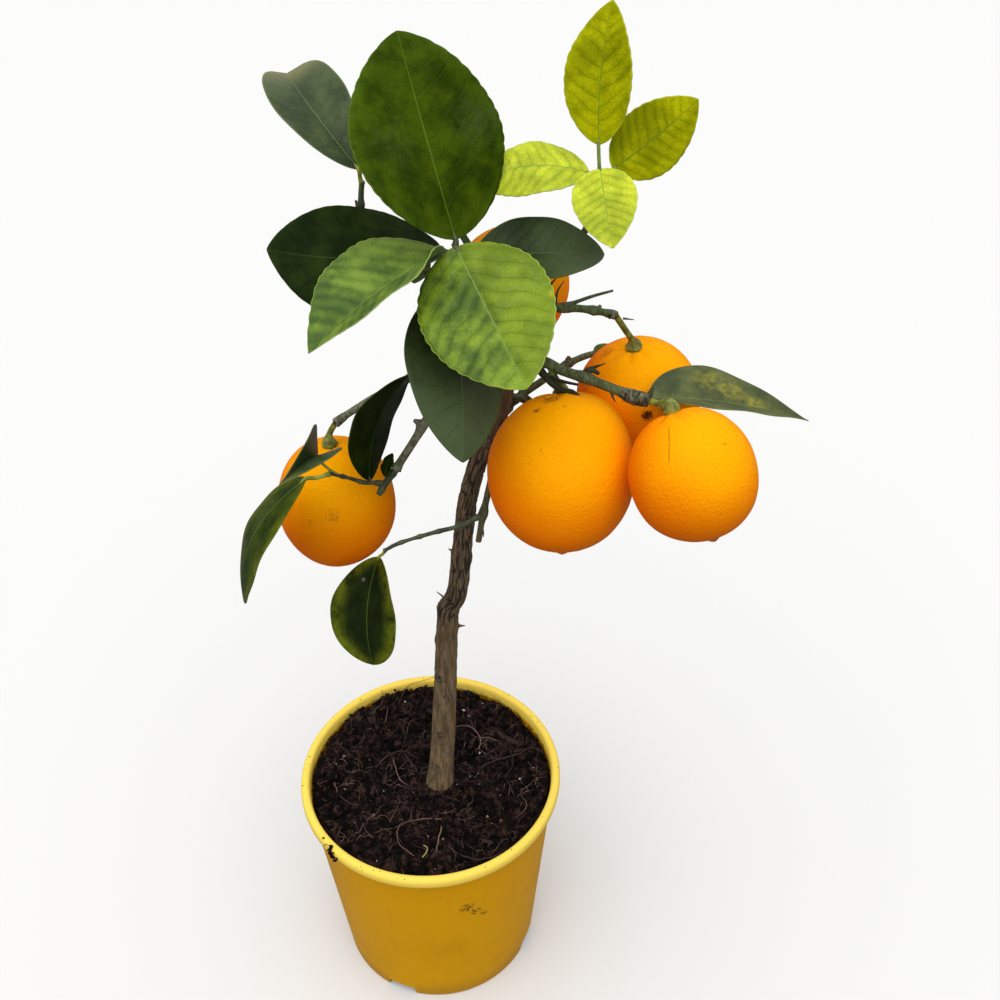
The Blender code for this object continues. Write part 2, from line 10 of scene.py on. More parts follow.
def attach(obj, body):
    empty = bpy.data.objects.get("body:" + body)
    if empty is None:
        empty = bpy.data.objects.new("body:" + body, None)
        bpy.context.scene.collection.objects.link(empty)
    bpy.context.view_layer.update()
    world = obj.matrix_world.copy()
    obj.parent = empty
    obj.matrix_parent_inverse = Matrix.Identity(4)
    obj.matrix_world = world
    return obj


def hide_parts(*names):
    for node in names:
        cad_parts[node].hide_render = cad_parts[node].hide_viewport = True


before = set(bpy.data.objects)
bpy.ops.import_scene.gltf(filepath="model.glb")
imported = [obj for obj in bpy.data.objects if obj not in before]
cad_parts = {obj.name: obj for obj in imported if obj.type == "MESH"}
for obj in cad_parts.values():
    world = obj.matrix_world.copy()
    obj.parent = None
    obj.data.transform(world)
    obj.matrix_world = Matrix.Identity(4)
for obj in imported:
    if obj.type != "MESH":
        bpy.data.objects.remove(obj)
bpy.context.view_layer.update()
mm = 0.001


# helpers for places and shapes

def inMetres(place):
    return Vector(place) * mm


def heading(azimuth, elevation):
    a, e = math.radians(azimuth), math.radians(elevation)
    return Vector((math.cos(e) * math.cos(a), math.cos(e) * math.sin(a), math.sin(e)))


def smoothStep(low, high, value):
    share = min(1.0, max(0.0, (value - low) / (high - low)))
    return share * share * (3 - 2 * share)


def smoothPath(places, steps):
    ends = [places[0] * 2 - places[1], *places, places[-1] * 2 - places[-2]]
    points = []
    for a, b, c, d in zip(ends, ends[1:], ends[2:], ends[3:]):
        for i in range(steps):
            t = i / steps
            points.append(0.5 * (2 * b + (c - a) * t + (2 * a - 5 * b + 4 * c - d) * t ** 2
                                 + (3 * b - a - 3 * c + d) * t ** 3))
    points.append(places[-1])
    return points


def pointAt(path, share):
    spot = share * (len(path) - 1)
    low = min(int(spot), len(path) - 2)
    return path[low].lerp(path[low + 1], spot - low)


def evenPath(path, step):
    # the same line with its points about one step apart
    lengths = [0.0]
    for a, b in zip(path, path[1:]):
        lengths.append(lengths[-1] + (b - a).length)
    count = max(3, round(lengths[-1] / step))
    points = []
    i = 0
    for k in range(count + 1):
        want = lengths[-1] * k / count
        while i < len(path) - 2 and lengths[i + 1] < want:
            i += 1
        share = (want - lengths[i]) / max(lengths[i + 1] - lengths[i], 1e-9)
        points.append(path[i].lerp(path[i + 1], min(1.0, share)))
    return points


def growTube(shape, points, radii, around, relief=None):
    # a grid wrapped round a line of points, then closed along its seam and over its two ends
    last = len(points) - 1
    across = (points[1] - points[0]).orthogonal().normalized()
    frames = []
    for i, point in enumerate(points):
        ahead = (points[min(i + 1, last)] - points[max(i - 1, 0)]).normalized()
        across = (across - ahead * across.dot(ahead)).normalized()
        frames.append((across, ahead.cross(across)))
    skin = bmesh.ops.create_grid(shape, x_segments=last, y_segments=around, size=1.0,
                                 calc_uvs=True)["verts"]
    for vert in skin:
        i = round((vert.co.x + 1) / 2 * last)
        angle = math.pi * (vert.co.y + 1)
        out = frames[i][0] * math.cos(angle) + frames[i][1] * math.sin(angle)
        vert.co = points[i] + out * radii[i]
        if relief:
            relief(vert, out, points[i], radii[i])
    bmesh.ops.remove_doubles(shape, verts=skin, dist=1e-7)
    skin = [vert for vert in skin if vert.is_valid]
    rims = {edge for vert in skin for edge in vert.link_edges if edge.is_boundary}
    bmesh.ops.holes_fill(shape, edges=list(rims), sides=0)
    return skin


def finishPiece(name, shape, looks, slot, replaced=(), sharp=None):
    mesh = bpy.data.meshes.new(name)
    shape.to_mesh(mesh)
    shape.free()
    mesh.shade_smooth()
    if sharp is not None:
        mesh.set_sharp_from_angle(angle=math.radians(sharp))
    piece = bpy.data.objects.new(name, mesh)
    bpy.context.scene.collection.objects.link(piece)
    for look in looks:
        mesh.materials.append(look.material)
    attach(piece, "root")
    if replaced:
        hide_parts(*replaced)
    return piece


def spinProfile(profile, steps):
    # turns a line of (radius, height) points round the upright axis
    shape = bmesh.new()
    verts = [shape.verts.new((radius * mm, 0, height * mm)) for radius, height in profile]
    edges = [shape.edges.new(pair) for pair in zip(verts, verts[1:])]
    bmesh.ops.spin(shape, geom=verts + edges, cent=(0, 0, 0), axis=(0, 0, 1),
                   angle=2 * math.pi, steps=steps, use_merge=True)
    bmesh.ops.remove_doubles(shape, verts=shape.verts, dist=1e-6)
    bmesh.ops.recalc_face_normals(shape, faces=shape.faces)
    return shape


# helpers for materials

class Wire:
    # one socket of a material, so that shader maths reads as a plain expression
    def __init__(self, look, socket):
        self.look = look
        self.socket = socket

    def __add__(self, other):
        return self.look.maths("ADD", self, other)

    def __sub__(self, other):
        return self.look.maths("SUBTRACT", self, other)

    def __rsub__(self, other):
        return self.look.maths("SUBTRACT", other, self)

    def __mul__(self, other):
        return self.look.maths("MULTIPLY", self, other)

    def __truediv__(self, other):
        return self.look.maths("DIVIDE", self, other)

    def __pow__(self, other):
        return self.look.maths("POWER", self, other)

    def __abs__(self):
        return self.look.maths("ABSOLUTE", self)

    __radd__ = __add__
    __rmul__ = __mul__


class Look:
    def __init__(self, name, **fixed):
        self.material = bpy.data.materials.new(name)
        self.material.use_nodes = True
        self.tree = self.material.node_tree
        self.shader = self.tree.nodes["Principled BSDF"]
        for key, value in fixed.items():
            self.shader.inputs[key.replace("_", " ")].default_value = value
        self.place = self.node("TexCoord", output=3)

    def node(self, kind, settings=None, sockets=None, output=0):
        made = self.tree.nodes.new("ShaderNode" + kind)
        for key, value in (settings or {}).items():
            setattr(made, key, value)
        for key, value in (sockets or {}).items():
            self.feed(made.inputs[key], value)
        return Wire(self, made.outputs[output])

    def feed(self, socket, value):
        if isinstance(value, Wire):
            self.tree.links.new(value.socket, socket)
        elif socket.type == "RGBA":
            socket.default_value = (*value, 1)
        else:
            socket.default_value = value

    def paint(self, key, value):
        self.feed(self.shader.inputs[key], value)

    def maths(self, operation, *values):
        return self.node("Math", {"operation": operation}, dict(enumerate(values)))

    def blend(self, first, second, share):
        return self.node("Mix", {"data_type": "RGBA"}, {0: share, 6: first, 7: second}, 2)

    def fade(self, value, low, high):
        return self.node("MapRange", {"interpolation_type": "SMOOTHSTEP"},
                         {0: value, 1: low, 2: high})

    def stretched(self, scale, turn=(0, 0, 0), start=None):
        return self.node("Mapping", sockets={0: start or self.place, 2: turn, 3: scale})

    def clouds(self, scale, detail=3, rough=0.55, start=None):
        return self.node("TexNoise", sockets={"Vector": start or self.place, "Scale": scale,
                                              "Detail": detail, "Roughness": rough})

    def cells(self, scale, feature="F1", start=None, output=0):
        return self.node("TexVoronoi", {"feature": feature},
                         {"Vector": start or self.place, "Scale": scale}, output)

    def own(self, name):
        return self.node("Attribute", {"attribute_name": name}, output=2)

    def spot(self, place, reach):
        # 1 at a place on the piece, falling to 0 a reach away
        away = self.node("VectorMath", {"operation": "DISTANCE"},
                         {0: self.place, 1: inMetres(place)}, 1)
        return 1 - self.fade(away, 0.0, reach * mm)

    def axis(self, number):
        return self.node("SeparateXYZ", sockets={0: self.place}, output=number)

    def relief(self, height, strength, depth):
        self.paint("Normal", self.node("Bump", sockets={"Strength": strength,
                                                        "Distance": depth * mm, "Height": height}))


# the pot

pot = dict(height=171, rimRadius=90, rimBand=8.5, topRadius=85.5, footRadius=71, wall=2,
           steps=160, notches=4, notchWidth=22, notchHeight=8.5, notchReach=6, notchAzimuth=248,
           yellow=(0.78, 0.375, 0.0003), pale=(1.0, 0.76, 0.13), dull=(0.62, 0.28, 0.001),
           dirt=(0.03, 0.018, 0.01), dots=[((25, -78, 123.5), 8), ((30.5, -75.4, 115.5), 7),
                                           ((36, -72.2, 109), 4.5), ((7.5, -83.0, 143.5), 2)])


def wallRadius(height):
    share = height / (pot["height"] - pot["rimBand"])
    return pot["footRadius"] + (pot["topRadius"] - pot["footRadius"]) * share


def potLook():
    look = Look("yellowPlastic", Specular_IOR_Level=0.04)
    height = look.axis(2)
    x, y = look.axis(0), look.axis(1)
    radius = (x * x + y * y) ** 0.5
    colour = look.blend(pot["yellow"], pot["dull"], look.fade(look.clouds(22), 0.42, 0.8) * 0.55)
    # a few upright rubs and faint scuffs down the wall
    rubs = look.fade(look.clouds(1, 4, 0.6, look.stretched((150, 150, 18))), 0.56, 0.75)
    colour = look.blend(colour, pot["dull"], rubs * 0.35)
    scuffs = look.fade(look.clouds(1, 2, 0.5, look.stretched((60, 60, 420))), 0.66, 0.74)
    colour = look.blend(colour, pot["dirt"], scuffs * look.spot((5, -82, 145), 34) * 0.5)
    # painted highlight: the rolled rim is painted paler, for the light it reflects
    colour = look.blend(colour, pot["pale"], look.fade(height, 0.1622, 0.1640) * 0.85)
    # specks of compost: a cluster on the front wall, few elsewhere, more round the rim
    grains = look.cells(620)
    patch = look.spot(*pot["dots"][0])
    for dot in pot["dots"][1:]:
        patch = look.maths("MAXIMUM", patch, look.spot(*dot))
    patch = look.fade(patch * look.fade(look.clouds(560, 3, 0.8), 0.50, 0.56), 0.12, 0.4)
    sparse = (1 - look.fade(grains, 0.16, 0.26)) * look.fade(look.clouds(90, 1), 0.64, 0.68)
    rim = look.fade(height, 0.160, 0.164)
    specks = sparse * (rim * 0.75 + 0.12)
    # earth on the wall inside, thick at the compost and gone by the rim
    outer = height * ((wallRadius(100) - wallRadius(0)) / 100) + wallRadius(0) * mm
    inside = look.fade(outer - radius, 0.0008, 0.0014)
    low = 1 - look.fade(height + (look.clouds(110, 5, 0.7) - 0.5) * 0.022, 0.157, 0.167)
    smear = inside * low * look.fade(look.clouds(420, 2), 0.38, 0.52)
    colour = look.blend(colour, pot["dirt"], look.maths("MAXIMUM", smear, patch * 0.9))
    colour = look.blend(colour, pot["dirt"], specks)
    look.paint("Base Color", colour)
    look.paint("Roughness", 0.34 + look.clouds(60) * 0.12 + smear * 0.4)
    look.relief(look.clouds(90, 2) + look.clouds(900, 1) * 0.12, 0.25, 0.4)
    return look


def makePot():
    under = pot["height"] - pot["rimBand"]
    top = pot["height"]
    rim = pot["rimRadius"]
    wall = pot["wall"]
    profile = [(0, 0.8), (58, 0.8), (60, 0), (69, 0), (70.4, 0.5), (wallRadius(1.5), 1.5)]
    profile += [(wallRadius(height), height) for height in (20, 50, 80, 110, 140, 158)]
    profile += [(85.4, under - 0.6), (86, under), (88.2, under), (89.2, under + 0.5),
                (89.8, under + 1.5), (90, under + 3), (rim, top - 3.2), (89.7, top - 1.8),
                (89, top - 0.7), (87.9, top - 0.1), (87, top), (86, top - 0.1), (85, top - 0.6),
                (84.3, top - 1.5), (84, top - 2.8), (83.7, under)]
    profile += [(wallRadius(height) - wall, height) for height in (150, 120, 80, 40, 4)]
    profile += [(67, 2.6), (64, wall), (0, wall)]
    body = bpy.data.objects.new("potBody", bpy.data.meshes.new("potBody"))
    shape = spinProfile(profile, pot["steps"])
    shape.to_mesh(body.data)
    shape.free()
    bpy.context.scene.collection.objects.link(body)
    for i in range(pot["notches"]):
        tool = bmesh.new()
        bmesh.ops.create_cube(tool, size=1.0)
        size = Vector((pot["notchReach"] * 2, pot["notchWidth"], pot["notchHeight"] * 2)) * mm
        bmesh.ops.scale(tool, vec=size, verts=tool.verts)
        for vert in tool.verts:
            vert.co.y *= 0.91 if vert.co.z > 0 else 1.09
        bmesh.ops.bevel(tool, geom=tool.edges[:], offset=1.2 * mm, affect="EDGES", segments=3,
                        profile=0.5, material=-1)
        bmesh.ops.translate(tool, vec=(pot["footRadius"] * mm, 0, 0), verts=tool.verts)
        turn = Matrix.Rotation(math.radians(pot["notchAzimuth"] + 360 / pot["notches"] * i), 4, "Z")
        bmesh.ops.transform(tool, matrix=turn, verts=tool.verts)
        cutter = bpy.data.objects.new("notchTool", bpy.data.meshes.new("notchTool"))
        tool.to_mesh(cutter.data)
        tool.free()
        bpy.context.scene.collection.objects.link(cutter)
        notch = body.modifiers.new("notch", "BOOLEAN")
        notch.object = cutter
        graph = bpy.context.evaluated_depsgraph_get()
        cutMesh = bpy.data.meshes.new_from_object(body.evaluated_get(graph))
        body.modifiers.clear()
        body.data = cutMesh
        bpy.data.objects.remove(cutter, do_unlink=True)
    shape = bmesh.new()
    shape.from_mesh(body.data)
    bpy.data.objects.remove(body, do_unlink=True)
    finishPiece("potShell", shape, [potLook()], "pot_plastic", ["pot"], 32)
    print("pot made")


makePot()


# the compost, with its crumbs, root fibres and grit

soil = dict(level=159, lumps=4.5, flat=15, foot=(6, -3), rings=84, steps=200, edge=81.8, seed=7,
            clods=300, crumbs=1500, fibres=460, strings=24, grains=60, chips=46)


def soilHeight(x, y):
    # height of the compost in metres at a place in metres
    spot = Vector((x, y, soil["level"] * mm))
    away = (spot.xy - inMetres((*soil["foot"], 0)).xy).length / mm
    share = min(1.0, max(0.0, (away - soil["flat"]) / soil["flat"]))
    lumps = noise.noise(spot / (14 * mm)) * soil["lumps"] * share
    clods = noise.noise(spot / (6 * mm) + Vector((3, 1, 4))) * (0.5 + 3.2 * share)
    fine = noise.noise(spot / (2.6 * mm)) * (0.4 + 1.2 * share)
    heaped = 6.2 * math.exp(-(away / 14) ** 2)
    # banked up against the wall at the back
    around = math.hypot(x, y) / mm
    behind = max(0.0, (y * 0.93 - x * 0.36) / mm / max(around, 1.0))
    banked = 5.5 * smoothStep(52, 79, around) * behind ** 2
    return (soil["level"] + lumps + clods + fine + heaped + banked) * mm


def soilLook():
    look = Look("darkCompost", Roughness=0.95, Specular_IOR_Level=0.12)
    tone = look.clouds(240, 4, 0.65)
    colour = look.blend((0.003, 0.0016, 0.0014), (0.055, 0.027, 0.021), look.fade(tone, 0.42, 0.72))
    # painted shade: near-black patches for the shaded gaps between the crumbs
    gapShade = 1 - look.fade(look.clouds(150, 4, 0.62), 0.40, 0.50)
    colour = look.blend(colour, (0.0008, 0.0006, 0.0006), gapShade * 0.95)
    warm = look.fade(look.clouds(70, 3), 0.5, 0.72)
    colour = look.blend(colour, (0.060, 0.026, 0.018), warm * look.fade(tone, 0.45, 0.7) * 0.8)
    flecks = 1 - look.fade(look.cells(700), 0.10, 0.22)
    colour = look.blend(colour, (0.16, 0.09, 0.06), flecks * look.fade(look.clouds(210, 1), 0.6, 0.66))
    # painted shade: the compost is darker in its low places
    lowShade = 1 - look.fade(look.axis(2), (soil["level"] - 2.4) * mm, (soil["level"] + 1.2) * mm)
    colour = look.blend(colour, (0.0015, 0.0010, 0.0010), lowShade * 0.8)
    look.paint("Base Color", colour)
    look.relief(look.clouds(700, 4, 0.7) + look.clouds(260, 3), 0.9, 1.4)
    return look


def addCrumb(shape, place, size, chance, subdivisions=1):
    turn = Matrix.Rotation(chance.uniform(0, 6.3), 4, Vector((chance.random(), chance.random(), 1)))
    flat = Matrix.Diagonal((*(size * chance.uniform(0.6, 1.3) for _ in range(3)), 1))
    made = bmesh.ops.create_icosphere(shape, subdivisions=subdivisions, radius=1.0)["verts"]
    for vert in made:
        vert.co *= 1 + 0.45 * noise.noise(vert.co * 1.7 + place * 900)
    bmesh.ops.transform(shape, matrix=Matrix.Translation(place) @ turn @ flat, verts=made)


def soilSpot(chance, reach=79, bare=9):
    while True:
        angle = chance.uniform(0, 2 * math.pi)
        away = math.sqrt(chance.random()) * reach * mm
        x, y = away * math.cos(angle), away * math.sin(angle)
        if (Vector((x, y)) - inMetres((*soil["foot"], 0)).xy).length > bare * mm:
            return x, y


def makeCompost():
    foot = pot["wall"] + 0.3
    level, edge = soil["level"], soil["edge"]
    profile = [(0, foot), (wallRadius(foot) - 2.6, foot), (wallRadius(80) - 2.6, 80)]
    profile += [(wallRadius(140) - 2.6, 140), (edge, level - 3)]
    profile += [(edge * (1 - i / soil["rings"]), level) for i in range(soil["rings"] + 1)]
    shape = spinProfile(profile, soil["steps"])
    for vert in shape.verts:
        if vert.co.z > (level - 1) * mm:
            vert.co.z = soilHeight(vert.co.x, vert.co.y)
            vert.co.z += 1.8 * mm * smoothStep(74, 81, vert.co.xy.length / mm)
    finishPiece("compostBed", shape, [soilLook()], "compost", ["compost"])

    chance = random.Random(soil["seed"])
    shape = bmesh.new()
    for i in range(soil["clods"]):
        x, y = soilSpot(chance, 78, 14)
        size = (1.3 + 4.2 * chance.random() ** 3) * mm
        addCrumb(shape, Vector((x, y, soilHeight(x, y) + size * 0.2)), size, chance, 2)
    for i in range(soil["crumbs"]):
        x, y = soilSpot(chance, 80)
        size = chance.uniform(0.45, 1.3) * mm
        lift = size * 0.4
        if i % 5 == 0:  # some cling to the wall above the compost
            angle = chance.uniform(0, 2 * math.pi)
            x, y = (80.6 * mm * math.cos(angle), 80.6 * mm * math.sin(angle))
            lift = chance.random() ** 2 * 4 * mm + 1.0 * mm
        addCrumb(shape, Vector((x, y, soilHeight(x, y) + lift)), size, chance)
    finishPiece("compostCrumbs", shape, [soilLook()], "compost", sharp=50)


def fibrePath(chance, x, y, length, lift):
    angle = chance.uniform(0, 2 * math.pi)
    bend = chance.uniform(-0.2, 0.2)
    points = []
    count = 9 if length < 24 else 16
    for i in range(count + 1):
        rise = lift * math.sin(math.pi * i / count) + 0.35
        points.append(Vector((x, y, soilHeight(x, y) + rise * mm)))
        angle += bend + chance.uniform(-0.3, 0.3)
        x += math.cos(angle) * length / count * mm
        y += math.sin(angle) * length / count * mm
        away = math.hypot(x, y)
        if away > 80 * mm:
            x, y = x * 80 * mm / away, y * 80 * mm / away
    points[0].z -= 1.2 * mm
    points[-1].z -= 1.2 * mm
    return points


# fibres that stand out in front, and the widths at their two ends
longFibres = [([(29.7, -2.5, 160), (35, 5.7, 164.5), (42.5, 10.9, 165), (61, 16.7, 165.5), (70, 23.7, 164),
                (80, 20.7, 162)], (0.9, 0.5)),
              ([(-38, 14.7, 160), (-30, 19.7, 164), (-20, 21.2, 165), (-9.3, 18, 160)], (0.8, 0.4)),
              ([(-28, 18.7, 161), (-26, 8.7, 164.5), (-22, -1.3, 161.5), (-15, -5.3, 160)], (0.7, 0.4)),
              ([(13, -35.3, 161), (0, -36.3, 164), (-14, -38.3, 164), (-21, -43.3, 163.5), (-19, -55.3, 163),
                (-9, -63.3, 161)], (0.8, 0.5)),
              ([(9, -43.3, 164), (7, -53.3, 164), (5, -62.3, 160)], (1.0, 0.6)),
              ([(-68, -2.3, 161), (-63, -15.3, 164.5), (-55, -22.3, 163.5), (-47, -22.8, 161)], (0.9, 0.5)),
              ([(14, 43.7, 164), (26, 42.7, 166), (34, 32.7, 165), (33, 24.7, 161)], (0.8, 0.5)),
              ([(22, -63.3, 160.5), (34, -68.3, 163), (48, -63.3, 162), (60, -55.3, 160)], (0.7, 0.4)),
              ([(62, -15.3, 161), (66, -27.3, 164), (58, -35.3, 160)], (0.6, 0.4)),
              ([(-36, 50.7, 162), (-34, 66, 164), (-30, 72, 168), (-29, 76, 171)], (0.8, 0.4)),
              ([(-27, 64.7, 166), (-20, 78, 171.5), (-8, 83, 171.8), (0, 87, 171.6)], (0.6, 0.3)),
              ([(-52, 34.7, 161), (-46, 56, 164), (-38, 68, 168), (-40, 75, 171.6)], (0.6, 0.3))]


def makeFibres():
    chance = random.Random(soil["seed"] + 1)
    shape = bmesh.new()
    for places, widths in longFibres:
        path = evenPath(smoothPath([inMetres(place) for place in places], 8), 2.5 * mm)
        path = [point + noise.noise_vector(point * 260) * 0.7 * mm for point in path]
        last = len(path) - 1
        radii = [(widths[0] + (widths[1] - widths[0]) * i / last) / 2 * mm for i in range(last + 1)]
        growTube(shape, path, radii, 5)
    for i in range(soil["fibres"]):
        x, y = soilSpot(chance, 78, 12)
        long = i < soil["strings"]
        length = chance.uniform(24, 44) if long else 3 + 14 * chance.random() ** 2
        points = fibrePath(chance, x, y, length, chance.uniform(0.2, 2.6))
        width = chance.uniform(0.26, 0.5) * mm if long else chance.uniform(0.16, 0.36) * mm
        growTube(shape, points, [width * (0.6 - 0.02 * k) for k in range(len(points))], 4)
    bmesh.ops.recalc_face_normals(shape, faces=shape.faces)
    look = Look("rootFibre", Roughness=0.8)
    tone = look.clouds(45, 2)
    colour = look.blend((0.05, 0.024, 0.018), (0.30, 0.17, 0.13), look.fade(tone, 0.40, 0.72))
    look.paint("Base Color", colour)
    look.relief(look.clouds(1400), 0.5, 0.2)
    finishPiece("rootFibres", shape, [look], "compost")


def makeGrit():
    chance = random.Random(soil["seed"] + 2)
    shape = bmesh.new()
    grains = [(-40.4, 47.6, 1.2), (21.7, 61, 1.3), (33.1, 23.5, 1.6), (-14, -49, 0.9), (62, -2, 0.8)]
    for x, y, size in grains:
        addCrumb(shape, inMetres((x, y, 0)) + Vector((0, 0, soilHeight(x * mm, y * mm) + 0.9 * mm)),
                 size * mm, chance, 2)
    for i in range(soil["grains"]):
        x, y = soilSpot(chance)
        size = chance.uniform(0.2, 0.6) * mm
        addCrumb(shape, Vector((x, y, soilHeight(x, y) + size)), size, chance)
    look = Look("whiteGrit", Roughness=0.9, Base_Color=(0.6, 0.57, 0.55, 1))
    look.paint("Base Color", look.blend((0.62, 0.6, 0.58), (0.3, 0.26, 0.24), look.clouds(900)))
    look.relief(look.clouds(2500), 0.6, 0.2)
    finishPiece("whiteGrit", shape, [look], "compost", sharp=40)

    shape = bmesh.new()
    spots = [(57, 34, 15, 150), (50, 37, 11, 128), (62, 25, 8, 20), (-38, 63, 8, 40), (-45, 55, 9, 100)]
    while len(spots) < soil["chips"]:
        x, y = soilSpot(chance, 74, 16)
        spots.append((x / mm, y / mm, chance.uniform(3, 9), chance.uniform(0, 180)))
    for x, y, length, azimuth in spots:
        addChip(shape, x, y, length, azimuth, chance)
    look = Look("barkChip", Roughness=0.85, Specular_IOR_Level=0.12)
    grain = look.clouds(1, 4, 0.6, look.stretched((900, 900, 160)))
    look.paint("Base Color", look.blend((0.010, 0.006, 0.005), (0.060, 0.032, 0.024), grain))
    look.relief(grain, 0.8, 0.5)
    finishPiece("barkChips", shape, [look], "compost", sharp=40)

    shape = bmesh.new()
    addChip(shape, 49.1, -36, 6.5, 118, chance)
    look = Look("redChip", Roughness=0.6)
    look.paint("Base Color", look.blend((0.27, 0.045, 0.035), (0.08, 0.02, 0.015),
                                        look.fade(look.clouds(500), 0.4, 0.6)))
    look.relief(look.clouds(1100), 0.6, 0.3)
    finishPiece("redChip", shape, [look], "compost", sharp=40)

    shape = bmesh.new()
    addChip(shape, 39.6, -31, 3.4, 120, chance)
    path = smoothPath([inMetres(place) for place in ((-3, -56, 162), (-0.5, -59, 163.6),
                                                     (-0.8, -62.5, 163.6), (-3.5, -65, 161.5))], 5)
    growTube(shape, path, [0.4 * mm] * len(path), 6)
    bmesh.ops.recalc_face_normals(shape, faces=shape.faces)
    look = Look("paleRoot", Roughness=0.6)
    look.paint("Base Color", look.blend((0.42, 0.36, 0.14), (0.22, 0.24, 0.05), look.clouds(300)))
    look.relief(look.clouds(1100), 0.4, 0.2)
    finishPiece("paleRoot", shape, [look], "compost", sharp=40)


def addChip(shape, x, y, length, azimuth, chance):
    made = bmesh.ops.create_cube(shape, size=1.0)["verts"]
    edges = {edge for vert in made for edge in vert.link_edges}
    bevelled = bmesh.ops.bevel(shape, geom=list(edges), offset=0.22, affect="EDGES", segments=2,
                               profile=0.5, material=-1)
    verts = list({vert for face in bevelled["faces"] for vert in face.verts})
    for vert in verts:
        vert.co += noise.noise_vector(vert.co * 2 + Vector((x, y, 0))) * 0.16
    spot = Vector((x * mm, y * mm, soilHeight(x * mm, y * mm) + 0.9 * mm))
    turn = Matrix.Rotation(math.radians(azimuth), 4, "Z") @ Matrix.Rotation(
        chance.uniform(-0.3, 0.3), 4, "Y") @ Matrix.Rotation(chance.uniform(-0.5, 0.5), 4, "X")
    size = Matrix.Diagonal((length * mm, length * mm * 0.34, length * mm * 0.2, 1))
    bmesh.ops.transform(shape, matrix=Matrix.Translation(spot) @ turn @ size, verts=verts)


def makeRimDirt():
    # damp crumbs and a scrap of root that hang over the rim on the left
    chance = random.Random(soil["seed"] + 3)
    shape = bmesh.new()
    for place, size in (((-62.6, -62.8, 171.4), 1.3), ((-63.6, -64.2, 170.4), 1.1),
                        ((-63.5, -65.5, 168.6), 1.4), ((-62.6, -66.3, 166.8), 1.5),
                        ((-61.2, -67.2, 166.0), 1.6), ((-60.4, -68.4, 164.4), 1.2),
                        ((-64.6, -63.8, 169.2), 0.9), ((-58.8, -68.4, 166.4), 0.9),
                        ((-61.0, -66.2, 169.4), 0.8), ((-68.6, -55.6, 171.2), 0.6)):
        addCrumb(shape, inMetres(place), size * mm, chance, 2)
    for places in (((-62, -60, 169.5), (-63.6, -62.4, 172), (-66, -62, 172.8), (-68, -62.6, 171.6)),
                   ((-62, -63, 171.6), (-62.8, -65.8, 169.5), (-60.6, -68.6, 166.5), (-58.4, -69.8, 167))):
        path = smoothPath([inMetres(place) for place in places], 4)
        growTube(shape, path, [0.3 * mm] * len(path), 4)
    for i in range(26):
        azimuth = chance.uniform(0, 360)
        radius = chance.uniform(84.6, 89.2)
        addCrumb(shape, heading(azimuth, 0) * radius * mm + Vector((0, 0, 171 * mm)),
                 chance.uniform(0.2, 0.5) * mm, chance)
    bmesh.ops.recalc_face_normals(shape, faces=shape.faces)
    finishPiece("rimDirt", shape, [soilLook()], "compost", sharp=50)


makeCompost()
makeFibres()
makeGrit()
makeRimDirt()
print("compost made")


# the trunk and the boughs

trunk = dict(foot=(6, -3, 159.3), widths=(17.0, 8.6), flare=1.6, flareHeight=22, step=0.7, around=104,
             places=[(6, -3, 159.3), (11, -3, 216), (17, -3, 308), (19.5, -3.5, 328), (25, -4, 345),
                     (33, -5, 412), (43, -5.5, 449), (52, -6, 472), (58, -7, 505)],
             furrows=(306, 330, 442, 458))

# each bough: its places, and its width at its first and its last
boughs = {
    "leader": ([(57.5, -6.6, 502), (56, -11, 515), (48, -22, 544), (36.5, -35.5, 574)], (8.4, 3.6)),
    "rightBough": ([(57, -7, 500), (73, -20, 510), (83, -26, 508.5), (98, -34, 507),
                    (116, -43, 504), (124, -47, 503.5)], (5.4, 4.8)),
    "upperRightBough": ([(52.5, -16, 530), (68, -8, 533), (84, -3, 531), (99, 0, 528),
                         (112, 4, 522.5)], (4.6, 3.4)),
    "leftBough": ([(56, -11, 514), (44, -16, 514), (28, -21, 503), (13, -26, 478),
                   (-3, -32.5, 454)], (5.2, 4.2)),
    "leftFruitBough": ([(56, -7, 493), (42, 0, 501), (24, 1, 502), (2, 0, 488),
                        (-21, 3, 472), (-38, 5, 459)], (5.4, 3.8)),
    "rearBough": ([(50.5, -6, 469), (60, 2, 473.5), (75, 12, 479), (89, 24, 482), (104, 40, 478.5),
                   (117, 50, 472.5), (126, 57, 466), (130, 60, 461)], (4.2, 3.4)),
    "backBough": ([(50, -20, 538), (60, 0, 548), (69, 18, 554), (75, 32, 557)], (4.4, 3.4)),
    "youngBough": ([(46, -25, 550), (66, -19, 552), (84, -15, 564), (95, -12, 580)], (4.0, 2.8)),
    "rearTopBough": ([(44, -27, 556), (40, -17, 568), (32, -4, 577), (24, 10, 585)], (4.0, 2.8)),
    "upperLeftBough": ([(42, -30, 561), (26, -24, 560), (8, -16, 562), (-8, -8, 572),
                        (-12.5, -5, 584)], (3.8, 3.4)),
    "lowShoot": ([(43, -5.5, 449), (49, -9, 443), (47, -13, 434), (42, -17, 413),
                  (38.5, -18, 392)], (4.2, 3.4)),
}
boughNodes = ["leader", "right_bough", "upper_right_bough", "left_bough", "left_fruit_bough",
              "rear_bough", "back_bough", "young_bough", "rear_top_bough", "upper_left_bough",
              "low_shoot"]

